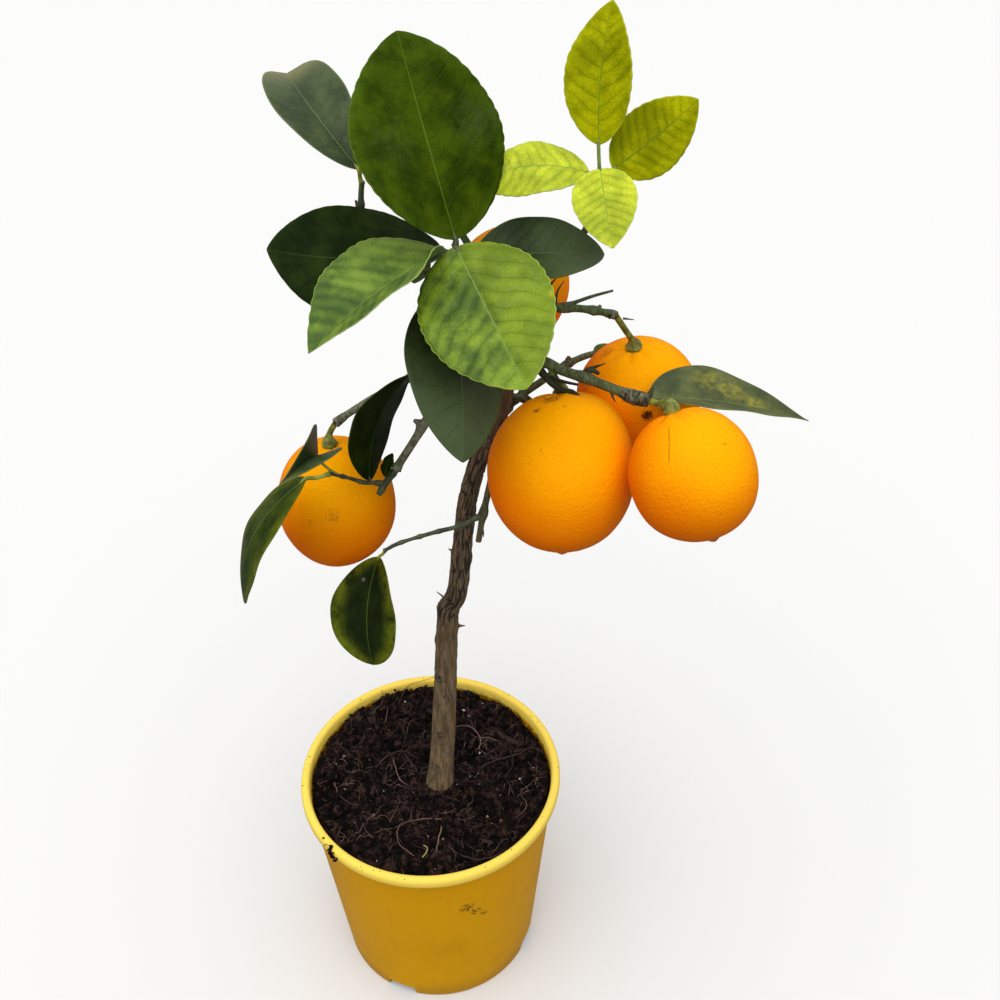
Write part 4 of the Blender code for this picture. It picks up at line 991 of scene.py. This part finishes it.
# leaf kinds: the two tones of the blade, its veins, midrib and margin, how much of the lighter tone
# lies in patches and between the veins, the lustre, and the tones of the margins, the tip and one side;
# the tip tone of the sheen leaves is painted sheen and the side tone of the bright leaf painted light;
# marks are single places with their reach, tone and strength, and on the deep leaf they are painted sheen
black = (0.008, 0.008, 0.004)
leafKinds = {
    "deepLeaf": dict(deep=(0.013, 0.032, 0.0004), light=(0.060, 0.098, 0.002), vein=(0.060, 0.100, 0.008),
                     midrib=(0.11, 0.19, 0.02), margin=(0.11, 0.19, 0.015), veins=0.3, ribs=0.8,
                     patches=0.75, bands=0.10, shine=0.02, gloss=0.40, rim=((0.075, 0.13, 0.006), 9, 0.5),
                     # both marks are painted sheen: grey-green patches of reflection on the blade
                     marksAndSheen=[((2, -30, 622), 26, (0.070, 0.100, 0.030), 0.35),
                            ((44, -8, 628), 24, (0.070, 0.105, 0.035), 0.35)]),
    "shadeLeaf": dict(deep=(0.003, 0.010, 0.0005), light=(0.026, 0.044, 0.005), vein=(0.026, 0.044, 0.007),
                      midrib=(0.05, 0.085, 0.020), margin=(0.05, 0.085, 0.012), veins=0.15, ribs=0.6,
                      patches=0.5, bands=0.04, shine=0.03, gloss=0.40,
                      marksAndSheen=[((4, -20, 499), 3, (0.30, 0.30, 0.16), 0.8)]),
    "freshLeaf": dict(deep=(0.036, 0.080, 0.012), light=(0.190, 0.290, 0.034), vein=(0.060, 0.115, 0.014),
                      midrib=(0.20, 0.30, 0.07), margin=(0.36, 0.50, 0.10), veins=0.3, ribs=0.75,
                      patches=0.7, bands=0.20, shine=0.13, gloss=0.36,
                      marksAndSheen=[((-9.6, -54.6, 574.3), 1.6, black, 1.0), ((-18, -63.8, 569.4), 1.8, black, 1.0),
                             ((-24.5, -67.9, 566.8), 1.5, black, 1.0)]),
    "brightLeaf": dict(deep=(0.030, 0.070, 0.007), light=(0.215, 0.325, 0.018), vein=(0.070, 0.130, 0.010),
                       midrib=(0.20, 0.30, 0.06), margin=(0.40, 0.54, 0.08), veins=0.3, ribs=0.75,
                       # the side tone is painted light: one half of the blade lighter yellow-green
                       patches=0.75, bands=0.20, shine=0.16, gloss=0.36, side=((0.22, 0.30, 0.006), 0.45),
                       marksAndSheen=[((75.2, -74.1, 576.7), 5, (0.42, 0.40, 0.02), 0.7)]),
    "sheenLeaf": dict(deep=(0.006, 0.015, 0.002), light=(0.040, 0.062, 0.014), vein=(0.035, 0.058, 0.016),
                      midrib=(0.08, 0.12, 0.04), margin=(0.08, 0.12, 0.03), veins=0.2, ribs=0.7,
                      patches=0.6, bands=0.06, shine=0.10, gloss=0.36,
                      # the tip tone is painted sheen, grey-green towards the tip
                      tip=((0.080, 0.112, 0.046), 0.30, 0.85, 0.75)),
    "greyLeaf": dict(deep=(0.022, 0.042, 0.012), light=(0.075, 0.108, 0.034), vein=(0.06, 0.09, 0.035),
                     midrib=(0.12, 0.17, 0.06), margin=(0.14, 0.19, 0.05), veins=0.2, ribs=0.8,
                     patches=0.7, bands=0.06, shine=0.22, gloss=0.36,
                     tip=((0.20, 0.20, 0.07), 0.72, 1.0, 0.8)),
    "oliveLeaf": dict(deep=(0.010, 0.026, 0.001), light=(0.062, 0.090, 0.004), vein=(0.04, 0.065, 0.01),
                      midrib=(0.15, 0.20, 0.03), margin=(0.13, 0.17, 0.02), veins=0.25, ribs=0.8,
                      patches=0.6, bands=0.08, shine=0.03, gloss=0.40,
                      rim=((0.16, 0.18, 0.006), 10, 0.6)),
    "edgedLeaf": dict(deep=(0.004, 0.010, 0.002), light=(0.020, 0.036, 0.005), vein=(0.04, 0.055, 0.010),
                      midrib=(0.09, 0.13, 0.02), margin=(0.15, 0.18, 0.02), veins=0.25, ribs=0.9,
                      patches=0.5, bands=0.08, shine=0.04, gloss=0.40,
                      rim=((0.20, 0.23, 0.010), 12, 0.65),
                      marksAndSheen=[((-26.4, -35.6, 380.2), 2.6, (0.55, 0.52, 0.42), 0.8)]),
    "blotchedLeaf": dict(deep=(0.030, 0.048, 0.010), light=(0.125, 0.145, 0.030), vein=(0.05, 0.07, 0.02),
                         midrib=(0.17, 0.20, 0.05), margin=(0.20, 0.21, 0.03), veins=0.25, ribs=0.8,
                         patches=0.7, bands=0.08, shine=0.34, gloss=0.36,
                         marksAndSheen=[((158, -19, 498), 15, (0.30, 0.28, 0.014), 0.55),
                                ((170, -24, 494.5), 14, (0.34, 0.30, 0.014), 0.6),
                                ((181, -30, 490), 10, (0.36, 0.32, 0.015), 0.6),
                                ((163, -17, 496), 3, (0.10, 0.05, 0.012), 0.8)]),
    "youngLeaf": dict(deep=(0.165, 0.185, 0.0005), light=(0.420, 0.430, 0.002), vein=(0.12, 0.16, 0.002),
                      midrib=(0.11, 0.18, 0.012), margin=(0.46, 0.50, 0.03), veins=0.5, ribs=0.85,
                      patches=0.7, bands=0.20, shine=0.01, gloss=0.45),
    "limeLeaf": dict(deep=(0.270, 0.340, 0.014), light=(0.640, 0.710, 0.036), vein=(0.22, 0.31, 0.012),
                     midrib=(0.20, 0.30, 0.04), margin=(0.62, 0.70, 0.10), veins=0.5, ribs=0.85,
                     patches=0.7, bands=0.20, shine=0.12, gloss=0.45),
}
underside = dict(colour=(0.10, 0.16, 0.05), vein=(0.17, 0.23, 0.09))
ribGroove = 0.2  # how deep the midrib lies in the base of a blade
front = Vector((0.0, -0.79, 0.61))  # the way that the front leaves turn their upper side


def halfWidth(t, row):
    rise, widest = 0.62, row["widest"]
    fall = rise * (1 - widest) / widest
    peak = widest ** rise * (1 - widest) ** fall
    past = max(0.0, (t - widest) / (1 - widest))
    rounding = 1 - row["blunt"] * past * past * (3 - 2 * past)
    return row["width"] / 2 * (t ** rise * (1 - t) ** fall / peak) ** rounding


def bladeFrame(row, t):
    forward = heading(row["azimuth"], row["elevation"])
    level = Vector((0, 0, 1)).cross(forward).normalized()
    turns = [math.radians(row["roll"] + twist) for twist in (0, row["twist"] * (t - 0.5))]
    middle, side = (level * math.cos(turn) + forward.cross(level) * math.sin(turn) for turn in turns)
    return forward, middle, side


def bladePoint(row, t, s, half):
    # a point of the blade, t along it from base to tip and s across it from -1 to 1
    forward, middle, side = bladeFrame(row, t)
    bow = row["length"] * 4 * t * (1 - t)
    fold = math.radians(row["fold"])
    place = Vector(row["base"]) + forward * row["length"] * t
    place += forward.cross(middle) * bow * row["arch"] + middle * bow * row["sweep"]
    place += side * half * s * math.cos(fold) + forward.cross(side) * half * abs(s) * math.sin(fold)
    return place * mm


def veinPhase(row, t, across, seed):
    # whole numbers lie on the side veins, which leave the midrib at a slant and bend forwards
    spacing = row["length"] / 9.5
    wobble = noise.noise(Vector((t * 4.3, across * 0.07, seed))) * 0.5
    return (row["length"] * t - 0.5 * across - 0.011 * across ** 2) / spacing + wobble + 8


def addBlade(shape, row, along, across, seed, facesFront):
    layers = shape.verts.layers.float
    phase, rib, edge, tip = (layers[name] for name in ("phase", "rib", "edge", "along"))
    before = len(shape.faces)
    grid = bmesh.ops.create_grid(shape, x_segments=along, y_segments=across, size=1.0,
                                 calc_uvs=True)["verts"]
    forward, middle, side = bladeFrame(row, 0.5)
    flip = -1 if facesFront and forward.cross(middle).dot(front) < 0 else 1
    toothStep = 5.2
    for vert in grid:
        t = (vert.co.x + 1) / 2
        s = math.copysign(abs(vert.co.y) ** 1.3, vert.co.y)
        half = max(halfWidth(t, row), 0.3)
        out = abs(s)
        scallop = abs(math.sin(math.pi * (row["length"] * t / toothStep + (0.4 if s > 0 else 0))))
        toothed = half + row["teeth"] * (scallop ** 0.8 - 0.65) * min(1.0, half / 12)
        forward, middle, side = bladeFrame(row, t)
        up = forward.cross(side) * flip
        wide = half * out
        number = veinPhase(row, t, wide, seed)
        share = number + (0.5 if s < 0 else 0)
        bulge = math.sin(math.pi * (share - math.floor(share))) ** 0.7
        pucker = noise.noise(Vector((row["length"] * t / 9, half * s / 9, seed)))
        lift = row["quilt"] * (0.6 * bulge + 1.4 * pucker) * smoothStep(0.5, 4, wide) * (1 - out ** 4)
        lift -= ribGroove * math.exp(-(wide / 1.1) ** 2) * (1 - t)
        lift += row["ripple"] * out ** 3 * math.sin(t * 15 + seed * 5 + (2 if s > 0 else 0)) * (
            math.sin(math.pi * t))
        for way, middleT, reach, rise in row["curls"]:
            if s * way > 0:
                lift += rise * math.exp(-((t - middleT) / reach) ** 2) * out ** 3
        place = bladePoint(row, t, s, half + (toothed - half) * out ** 6)
        vert.co = place + up * lift * mm
        vert[phase] = number
        vert[rib] = half * s
        vert[edge] = half * (1 - out)
        vert[tip] = t
    if flip < 0:
        shape.faces.ensure_lookup_table()
        bmesh.ops.reverse_faces(shape, faces=shape.faces[before:])
    return flip


def leafLook(name, fixed, under=False):
    look = Look(name, Specular_IOR_Level=0.2 if under else fixed["shine"])
    rib = look.own("rib")
    number = look.own("phase")
    edge = look.own("edge")
    left = look.maths("LESS_THAN", rib, 0.0)
    near = abs(look.maths("FRACT", number + left * 0.5 + 0.5) - 0.5)
    wide = abs(rib)
    veins = (1 - look.fade(near, 0.002, 0.060)) * look.fade(edge, 0.4, 8.0) * look.fade(wide, 0.2, 1.2)
    midrib = (1 - look.fade(wide, 0.12, 0.48)) * (1 - look.fade(look.own("along"), 0.5, 0.95) * 0.6)
    margin = 1 - look.fade(edge, 0.2, 0.7)
    net = 1 - look.fade(look.cells(430, "DISTANCE_TO_EDGE"), 0.02, 0.14)
    if under:
        colour = look.blend(underside["colour"], underside["vein"],
                            look.maths("MAXIMUM", veins * 0.8, net * 0.35))
        colour = look.blend(colour, underside["vein"], midrib)
        look.paint("Base Color", colour)
        look.paint("Roughness", 0.62 + look.clouds(200) * 0.1)
        look.relief(veins + net * 0.3, 0.5, 0.3)
        return look
    patches = look.fade(look.clouds(62, 5, 0.62), 0.36, 0.66)
    tone = patches * fixed["patches"] + look.fade(near, 0.06, 0.46) * fixed["bands"] + 0.05
    colour = look.blend(fixed["deep"], fixed["light"], look.maths("MINIMUM", tone, 1.0))
    ragged = look.fade(look.clouds(110, 4, 0.65), 0.30, 0.62)
    patchy = look.fade(look.clouds(300, 3, 0.6), 0.35, 0.65)
    if "rim" in fixed:
        shade, reach, share = fixed["rim"]
        colour = look.blend(colour, shade, (1 - look.fade(edge, 0.5, reach)) * ragged * share)
    # a tone towards the tip, painted sheen on the sheen leaves
    if "tip" in fixed:
        shade, start, end, share = fixed["tip"]
        colour = look.blend(colour, shade, look.fade(look.own("along"), start, end) * share)
    # a tone on one side of the midrib, painted light on the bright leaf
    if "side" in fixed:
        shade, share = fixed["side"]
        colour = look.blend(colour, shade, look.fade(rib, -1.0, 6.0) * share)
    # marks: real specks and spots, and on the deep leaf painted sheen
    for place, reach, shade, share in fixed.get("marksAndSheen", ()):
        mask = look.fade(look.spot(place, reach) * (0.35 + patchy * 0.65), 0.1, 1.0)
        colour = look.blend(colour, shade, mask * share)
    colour = look.blend(colour, fixed["vein"], veins * fixed["veins"])
    colour = look.blend(colour, fixed["vein"], net * fixed["veins"] * 0.35)
    colour = look.blend(colour, fixed["midrib"], midrib * fixed["ribs"])
    colour = look.blend(colour, fixed["margin"], margin * 0.6)
    specks = (1 - look.fade(look.cells(300), 0.04, 0.10)) * look.fade(look.clouds(60, 1), 0.60, 0.66)
    colour = look.blend(colour, black, specks * 0.8)
    look.paint("Base Color", colour)
    look.paint("Roughness", fixed["gloss"] + look.clouds(130) * 0.12 - 0.05)
    look.relief(net * -0.4 + look.clouds(150, 3) * 0.9 - veins, 0.45, 0.5)
    return look


shoots = dict(old=bmesh.new(), bright=bmesh.new(), young=bmesh.new())
for shape in shoots.values():
    shape.loops.layers.uv.new("shootMap")
leafLooks = {}
for kind, fixed in leafKinds.items():
    leafLooks[kind] = leafLook(kind, fixed)
undersideLook = leafLook("leafUnderside", None, True)


def addStem(shape, path, widths, around=12):
    points = evenPath(path, 1.2 * mm)
    last = len(points) - 1
    radii = []
    for i, point in enumerate(points):
        joint = 0.4 * math.exp(-((i % 9 - 4) / 1.1) ** 2)  # the stem swells at each leaf joint
        swell = (joint + 0.15 * noise.noise(point / (3 * mm))) * mm
        radii.append((widths[0] + (widths[1] - widths[0]) * i / last) / 2 * mm + swell)
    growTube(shape, points, radii, around)


def addPetiole(shape, row, stem, flip):
    # the leaf stalk, which runs on under the blade as its midrib
    start = pointAt(stem, row["at"])
    base = inMetres(row["base"])
    thick = max(0.75, row["length"] * 0.0145)
    places = [start, start.lerp(base, 0.55) - Vector((0, 0, 0.8 * mm)), base]
    for t in (0.06, 0.16, 0.3, 0.45, 0.6, 0.75, 0.88):
        forward, middle, side = bladeFrame(row, t)
        sink = thick * (0.15 + 0.8 * (1 - t)) + 0.1 + ribGroove * (1 - t)
        places.append(bladePoint(row, t, 0, 1) - forward.cross(side) * flip * sink * mm)
    path = evenPath(smoothPath(places, 5), 1.4 * mm)
    forward = bladeFrame(row, 0.5)[0]
    radii = []
    for point in path:
        t = min(1.0, max(0.0, (point - base).dot(forward) / (row["length"] * mm)))
        joint = 0.4 * math.exp(-((point - start).length / (2 * mm)) ** 2)
        radii.append(thick * (0.15 + 0.8 * (1 - t) + joint) * mm)
    growTube(shape, path, radii, 10)


def makeLeafPiece(name, rows, kind, nodes, along, across, facesFront, stemOf, shootKind):
    shape = bmesh.new()
    shape.loops.layers.uv.new("leafMap")
    for layer in ("phase", "rib", "edge", "along"):
        shape.verts.layers.float.new(layer)
    for number, row in enumerate(rows):
        small = max(16, int(along * row["length"] / 80))
        flip = addBlade(shape, row, min(along, small), across, number * 1.7 + row["length"] * 0.37,
                        facesFront)
        addPetiole(shoots[shootKind], row, stemOf(row), flip)
    piece = finishPiece(name, shape, [leafLooks[kind], undersideLook],
                        "young_leaf" if kind in ("youngLeaf", "limeLeaf") else "leaf", nodes)
    sheet = piece.modifiers.new("thickness", "SOLIDIFY")
    sheet.thickness = (0.45 if facesFront else 0.2) * mm
    sheet.offset = 0.0
    sheet.material_offset = 1
    sheet.material_offset_rim = 0
    return piece


def makeSpray(name, fixed):
    path = smoothPath([inMetres(place) for place in fixed["stem"]], 3)
    shootKind = "young" if name == "youngSpray" else "old"
    addStem(shoots[shootKind], path, fixed["widths"])
    twigs = []
    for places, widths in fixed["twigs"]:
        twigs.append(smoothPath([inMetres(place) for place in places], 3))
        addStem(shoots["old"], twigs[-1], widths)
    kinds = {}
    for kind, row in fixed["leaves"]:
        kinds.setdefault(kind, []).append(row)
    for kind, rows in kinds.items():
        bright = kind in ("edgedLeaf", "oliveLeaf", "greyLeaf")
        makeLeafPiece(name + kind[0].upper() + kind[1:], rows, kind, [fixed["node"]], 96, 32, True,
                      lambda row: path if row["twig"] is None else twigs[row["twig"]],
                      "bright" if bright else shootKind)


for name, fixed in sprays.items():
    makeSpray(name, fixed)
print("front leaves made")


# the leaves on the far side, whose twigs and leaves follow a seeded rule

farSprays = {
    "rearTopSpray": dict(node="rear_top_spray", stem=[(24.2, 9.4, 584.7), (21, 20, 591), (19, 28, 598)],
                         widths=(2.8, 2.0), seed=3, wanted=3, elevations=(-20, 60),
                         space=((-15, 6, 540), (50, 84, 634)), kind="freshLeaf"),
    "rearLeftSpray": dict(node="rear_left_spray", stem=[(-6, -9, 570), (-12, 4, 564), (-18, 15, 552)],
                          widths=(2.6, 1.8), seed=7, wanted=2, elevations=(-62, -36),
                          space=((-66, -6, 470), (30, 74, 562)), kind="shadeLeaf"),
    "rearMiddleSpray": dict(node="rear_middle_spray", stem=[(46, -6, 456), (44, 10, 459), (38, 26, 458)],
                            widths=(2.8, 2.0), seed=8, wanted=3, elevations=(-60, 20),
                            space=((17, 4, 392), (84, 84, 486)), kind="deepLeaf"),
    "rearRightSpray": dict(node="rear_right_spray", stem=[(129.6, 59.2, 462), (133, 66, 452),
                                                          (134, 74, 442)],
                           widths=(2.8, 2.0), seed=4, wanted=3, elevations=(-80, 10),
                           space=((96, 40, 366), (172, 122, 470)), kind="oliveLeaf"),
    "lowRearSpray": dict(node="low_rear_spray", stem=[(54.5, -6, 481), (63, -4, 478), (69, -3, 471),
                                                      (77, 2, 457), (84, 16, 440)],
                         widths=(3.8, 1.8), seed=6, wanted=3, elevations=(-80, 0),
                         space=((50, 2, 326), (134, 90, 458)), kind="sheenLeaf"),
}
rule = dict(twigTries=6, leafTries=60, turn=137.5, clearance=1.2)


def treeOf(mesh):
    shape = bmesh.new()
    shape.from_mesh(mesh)
    found = BVHTree.FromBMesh(shape)
    shape.free()
    return found


def standsClear(shape, neighbours):
    own = BVHTree.FromBMesh(shape)
    for other in neighbours:
        if own.overlap(other):
            return False
        for vert in shape.verts:
            if other.find_nearest(vert.co, rule["clearance"] * mm)[0] is not None:
                return False
    return True


def keepsInside(shape, space):
    low, high = (inMetres(corner) for corner in space)
    return all(low[i] <= vert.co[i] <= high[i] for vert in shape.verts for i in range(3))


def roughBlade(row):
    # the source's plain blade, to try whether a leaf fits
    shape = bmesh.new()
    bmesh.ops.create_grid(shape, x_segments=6, y_segments=2, size=1.0)
    for vert in shape.verts:
        t = (vert.co.x + 1) / 2
        half = max(halfWidth(t, row), 0.7)
        vert.co = bladePoint(row, t, vert.co.y, half)
    bmesh.ops.recalc_face_normals(shape, faces=shape.faces)
    bmesh.ops.solidify(shape, geom=shape.faces[:], thickness=0.35 * mm)
    return shape


def makeFarSpray(name, fixed, neighbours):
    chance = random.Random(fixed["seed"])
    path = smoothPath([inMetres(place) for place in fixed["stem"]], 3)
    addStem(shoots["old"], path, fixed["widths"])
    stems = [path]
    azimuth = chance.uniform(0, 360)
    for i in range(rule["twigTries"]):
        azimuth += rule["turn"]
        start = pointAt(path, 0.3 + 0.6 * i / rule["twigTries"])
        way = heading(azimuth, chance.uniform(*fixed["elevations"]))
        end = start + way * chance.uniform(12, 20) * mm
        bend = start.lerp(end, 0.5) + heading(azimuth + 90, 40) * mm
        twig = smoothPath([start, bend, end], 2)
        trial = bmesh.new()
        growTube(trial, twig, [(1.0 - 0.2 * k / (len(twig) - 1)) * mm for k in range(len(twig))], 4)
        if len(stems) < 3 and keepsInside(trial, fixed["space"]) and standsClear(trial, neighbours):
            stems.append(twig)
            addStem(shoots["old"], twig, (2.0, 1.6))
        trial.free()
    rows = []
    for i in range(rule["leafTries"]):
        azimuth += rule["turn"] + chance.uniform(-15, 15)
        stem = stems[i % len(stems)]
        at = chance.uniform(0.5, 1.0)
        elevation = chance.uniform(*fixed["elevations"])
        length = chance.uniform(46, 66)
        base = pointAt(stem, at) / mm + heading(azimuth, elevation) * chance.uniform(5, 9)
        row = leaf(at, tuple(base), azimuth, elevation, chance.uniform(-25, 25), length,
                   length * chance.uniform(0.54, 0.66), chance.uniform(0.03, 0.10),
                   chance.uniform(4, 14), teeth=0.3, quilt=0.08, ripple=0.1)
        row["stem"] = stem
        trial = roughBlade(row)
        if len(rows) < fixed["wanted"] and keepsInside(trial, fixed["space"]) and standsClear(
                trial, neighbours):
            neighbours.append(BVHTree.FromBMesh(trial))
            rows.append(row)
        trial.free()
    makeLeafPiece(name + "Leaves", rows, fixed["kind"], [fixed["node"]], 64, 20, False,
                  lambda row: row["stem"], "old")
    print(name, "twigs", len(stems) - 1, "leaves", len(rows))
    neighbours.append(treeOf(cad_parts[fixed["node"]].data))


farNodes = {fixed["node"] for fixed in farSprays.values()}
neighbours = [treeOf(node.data) for name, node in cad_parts.items() if name not in farNodes]
for name, fixed in farSprays.items():
    makeFarSpray(name, fixed, neighbours)
print("far leaves made")


def shootLook(name, deep, light):
    look = Look(name, Roughness=0.5)
    tone = look.fade(look.clouds(180, 3), 0.35, 0.68)
    colour = look.blend(deep, light, tone)
    pores = (1 - look.fade(look.cells(800), 0.10, 0.24)) * look.fade(look.clouds(300, 1), 0.52, 0.6)
    colour = look.blend(colour, [min(1.0, part * 2.4) for part in light], pores * 0.5)
    look.paint("Base Color", colour)
    look.relief(look.clouds(900, 3), 0.4, 0.3)
    return look


shootTones = dict(old=((0.022, 0.034, 0.012), (0.085, 0.110, 0.038)),
                  bright=((0.17, 0.21, 0.015), (0.38, 0.41, 0.04)),
                  young=((0.10, 0.16, 0.03), (0.22, 0.30, 0.07)))
allSprays = [fixed["node"] for fixed in (*sprays.values(), *farSprays.values())]
for kind, shape in shoots.items():
    bmesh.ops.recalc_face_normals(shape, faces=shape.faces)
    nodes = allSprays if kind == "old" else []
    finishPiece(kind + "Shoots", shape, [shootLook(kind + "Shoot", *shootTones[kind])],
                "green_wood", nodes, 60)
print("shoots made")


# floor, light and camera

studio = dict(floorTone=(0.72, 0.72, 0.715), floorSize=14, ground=0.28, horizon=0.55, zenith=0.9,
              sunStrength=2.0, sunAngle=68, sunFrom=(262, 66), lens=41.4, pitch=37.8, roll=-0.87,
              cameraPlace=(51.06, -518.49, 809.34))


def makeStudio():
    shape = bmesh.new()
    bmesh.ops.create_grid(shape, x_segments=1, y_segments=1, size=studio["floorSize"] / 2)
    mesh = bpy.data.meshes.new("paleFloor")
    shape.to_mesh(mesh)
    shape.free()
    floor = bpy.data.objects.new("paleFloor", mesh)
    bpy.context.scene.collection.objects.link(floor)
    look = Look("paleFloor", Roughness=0.9, Base_Color=(*studio["floorTone"], 1))
    mesh.materials.append(look.material)
    floor.visible_diffuse = False  # the floor throws no light back up
    floor.visible_glossy = False

    world = bpy.data.worlds.new("softRoom")
    world.use_nodes = True
    nodes, links = world.node_tree.nodes, world.node_tree.links
    where = nodes.new("ShaderNodeTexCoord")
    parts = nodes.new("ShaderNodeSeparateXYZ")
    dome = nodes.new("ShaderNodeValToRGB")  # dim below, brighter towards the top
    dome.color_ramp.elements[0].position = 0.46
    dome.color_ramp.elements[0].color = [studio["ground"]] * 3 + [1]
    dome.color_ramp.elements[1].color = [studio["zenith"]] * 3 + [1]
    dome.color_ramp.elements.new(0.54).color = [studio["horizon"]] * 3 + [1]
    half = nodes.new("ShaderNodeMapRange")
    half.inputs[1].default_value = -1
    links.new(where.outputs["Generated"], parts.inputs[0])
    links.new(parts.outputs[2], half.inputs[0])
    links.new(half.outputs[0], dome.inputs[0])
    links.new(dome.outputs[0], nodes["Background"].inputs["Color"])
    bpy.context.scene.world = world
    lamp = bpy.data.lights.new("softLamp", "SUN")
    lamp.energy = studio["sunStrength"]
    lamp.angle = math.radians(studio["sunAngle"])
    sun = bpy.data.objects.new("softLamp", lamp)
    sun.rotation_euler = (-heading(*studio["sunFrom"])).to_track_quat("-Z", "Y").to_euler()
    bpy.context.scene.collection.objects.link(sun)

    pitch, roll = math.radians(studio["pitch"]), math.radians(studio["roll"])
    ahead = Vector((0, math.cos(pitch), -math.sin(pitch)))
    level = Vector((0, math.sin(pitch), math.cos(pitch)))
    right = Vector((1, 0, 0)) * math.cos(roll) + level * math.sin(roll)
    up = level * math.cos(roll) - Vector((1, 0, 0)) * math.sin(roll)
    view = bpy.data.cameras.new("camera")
    view.lens = studio["lens"]
    view.clip_start = 0.01
    camera = bpy.data.objects.new("camera", view)
    turn = Matrix((right, up, -ahead)).transposed().to_4x4()
    camera.matrix_world = Matrix.Translation(inMetres(studio["cameraPlace"])) @ turn
    bpy.context.scene.collection.objects.link(camera)
    bpy.context.scene.camera = camera
    bpy.context.scene.view_settings.view_transform = "Standard"


makeStudio()
print("studio made")
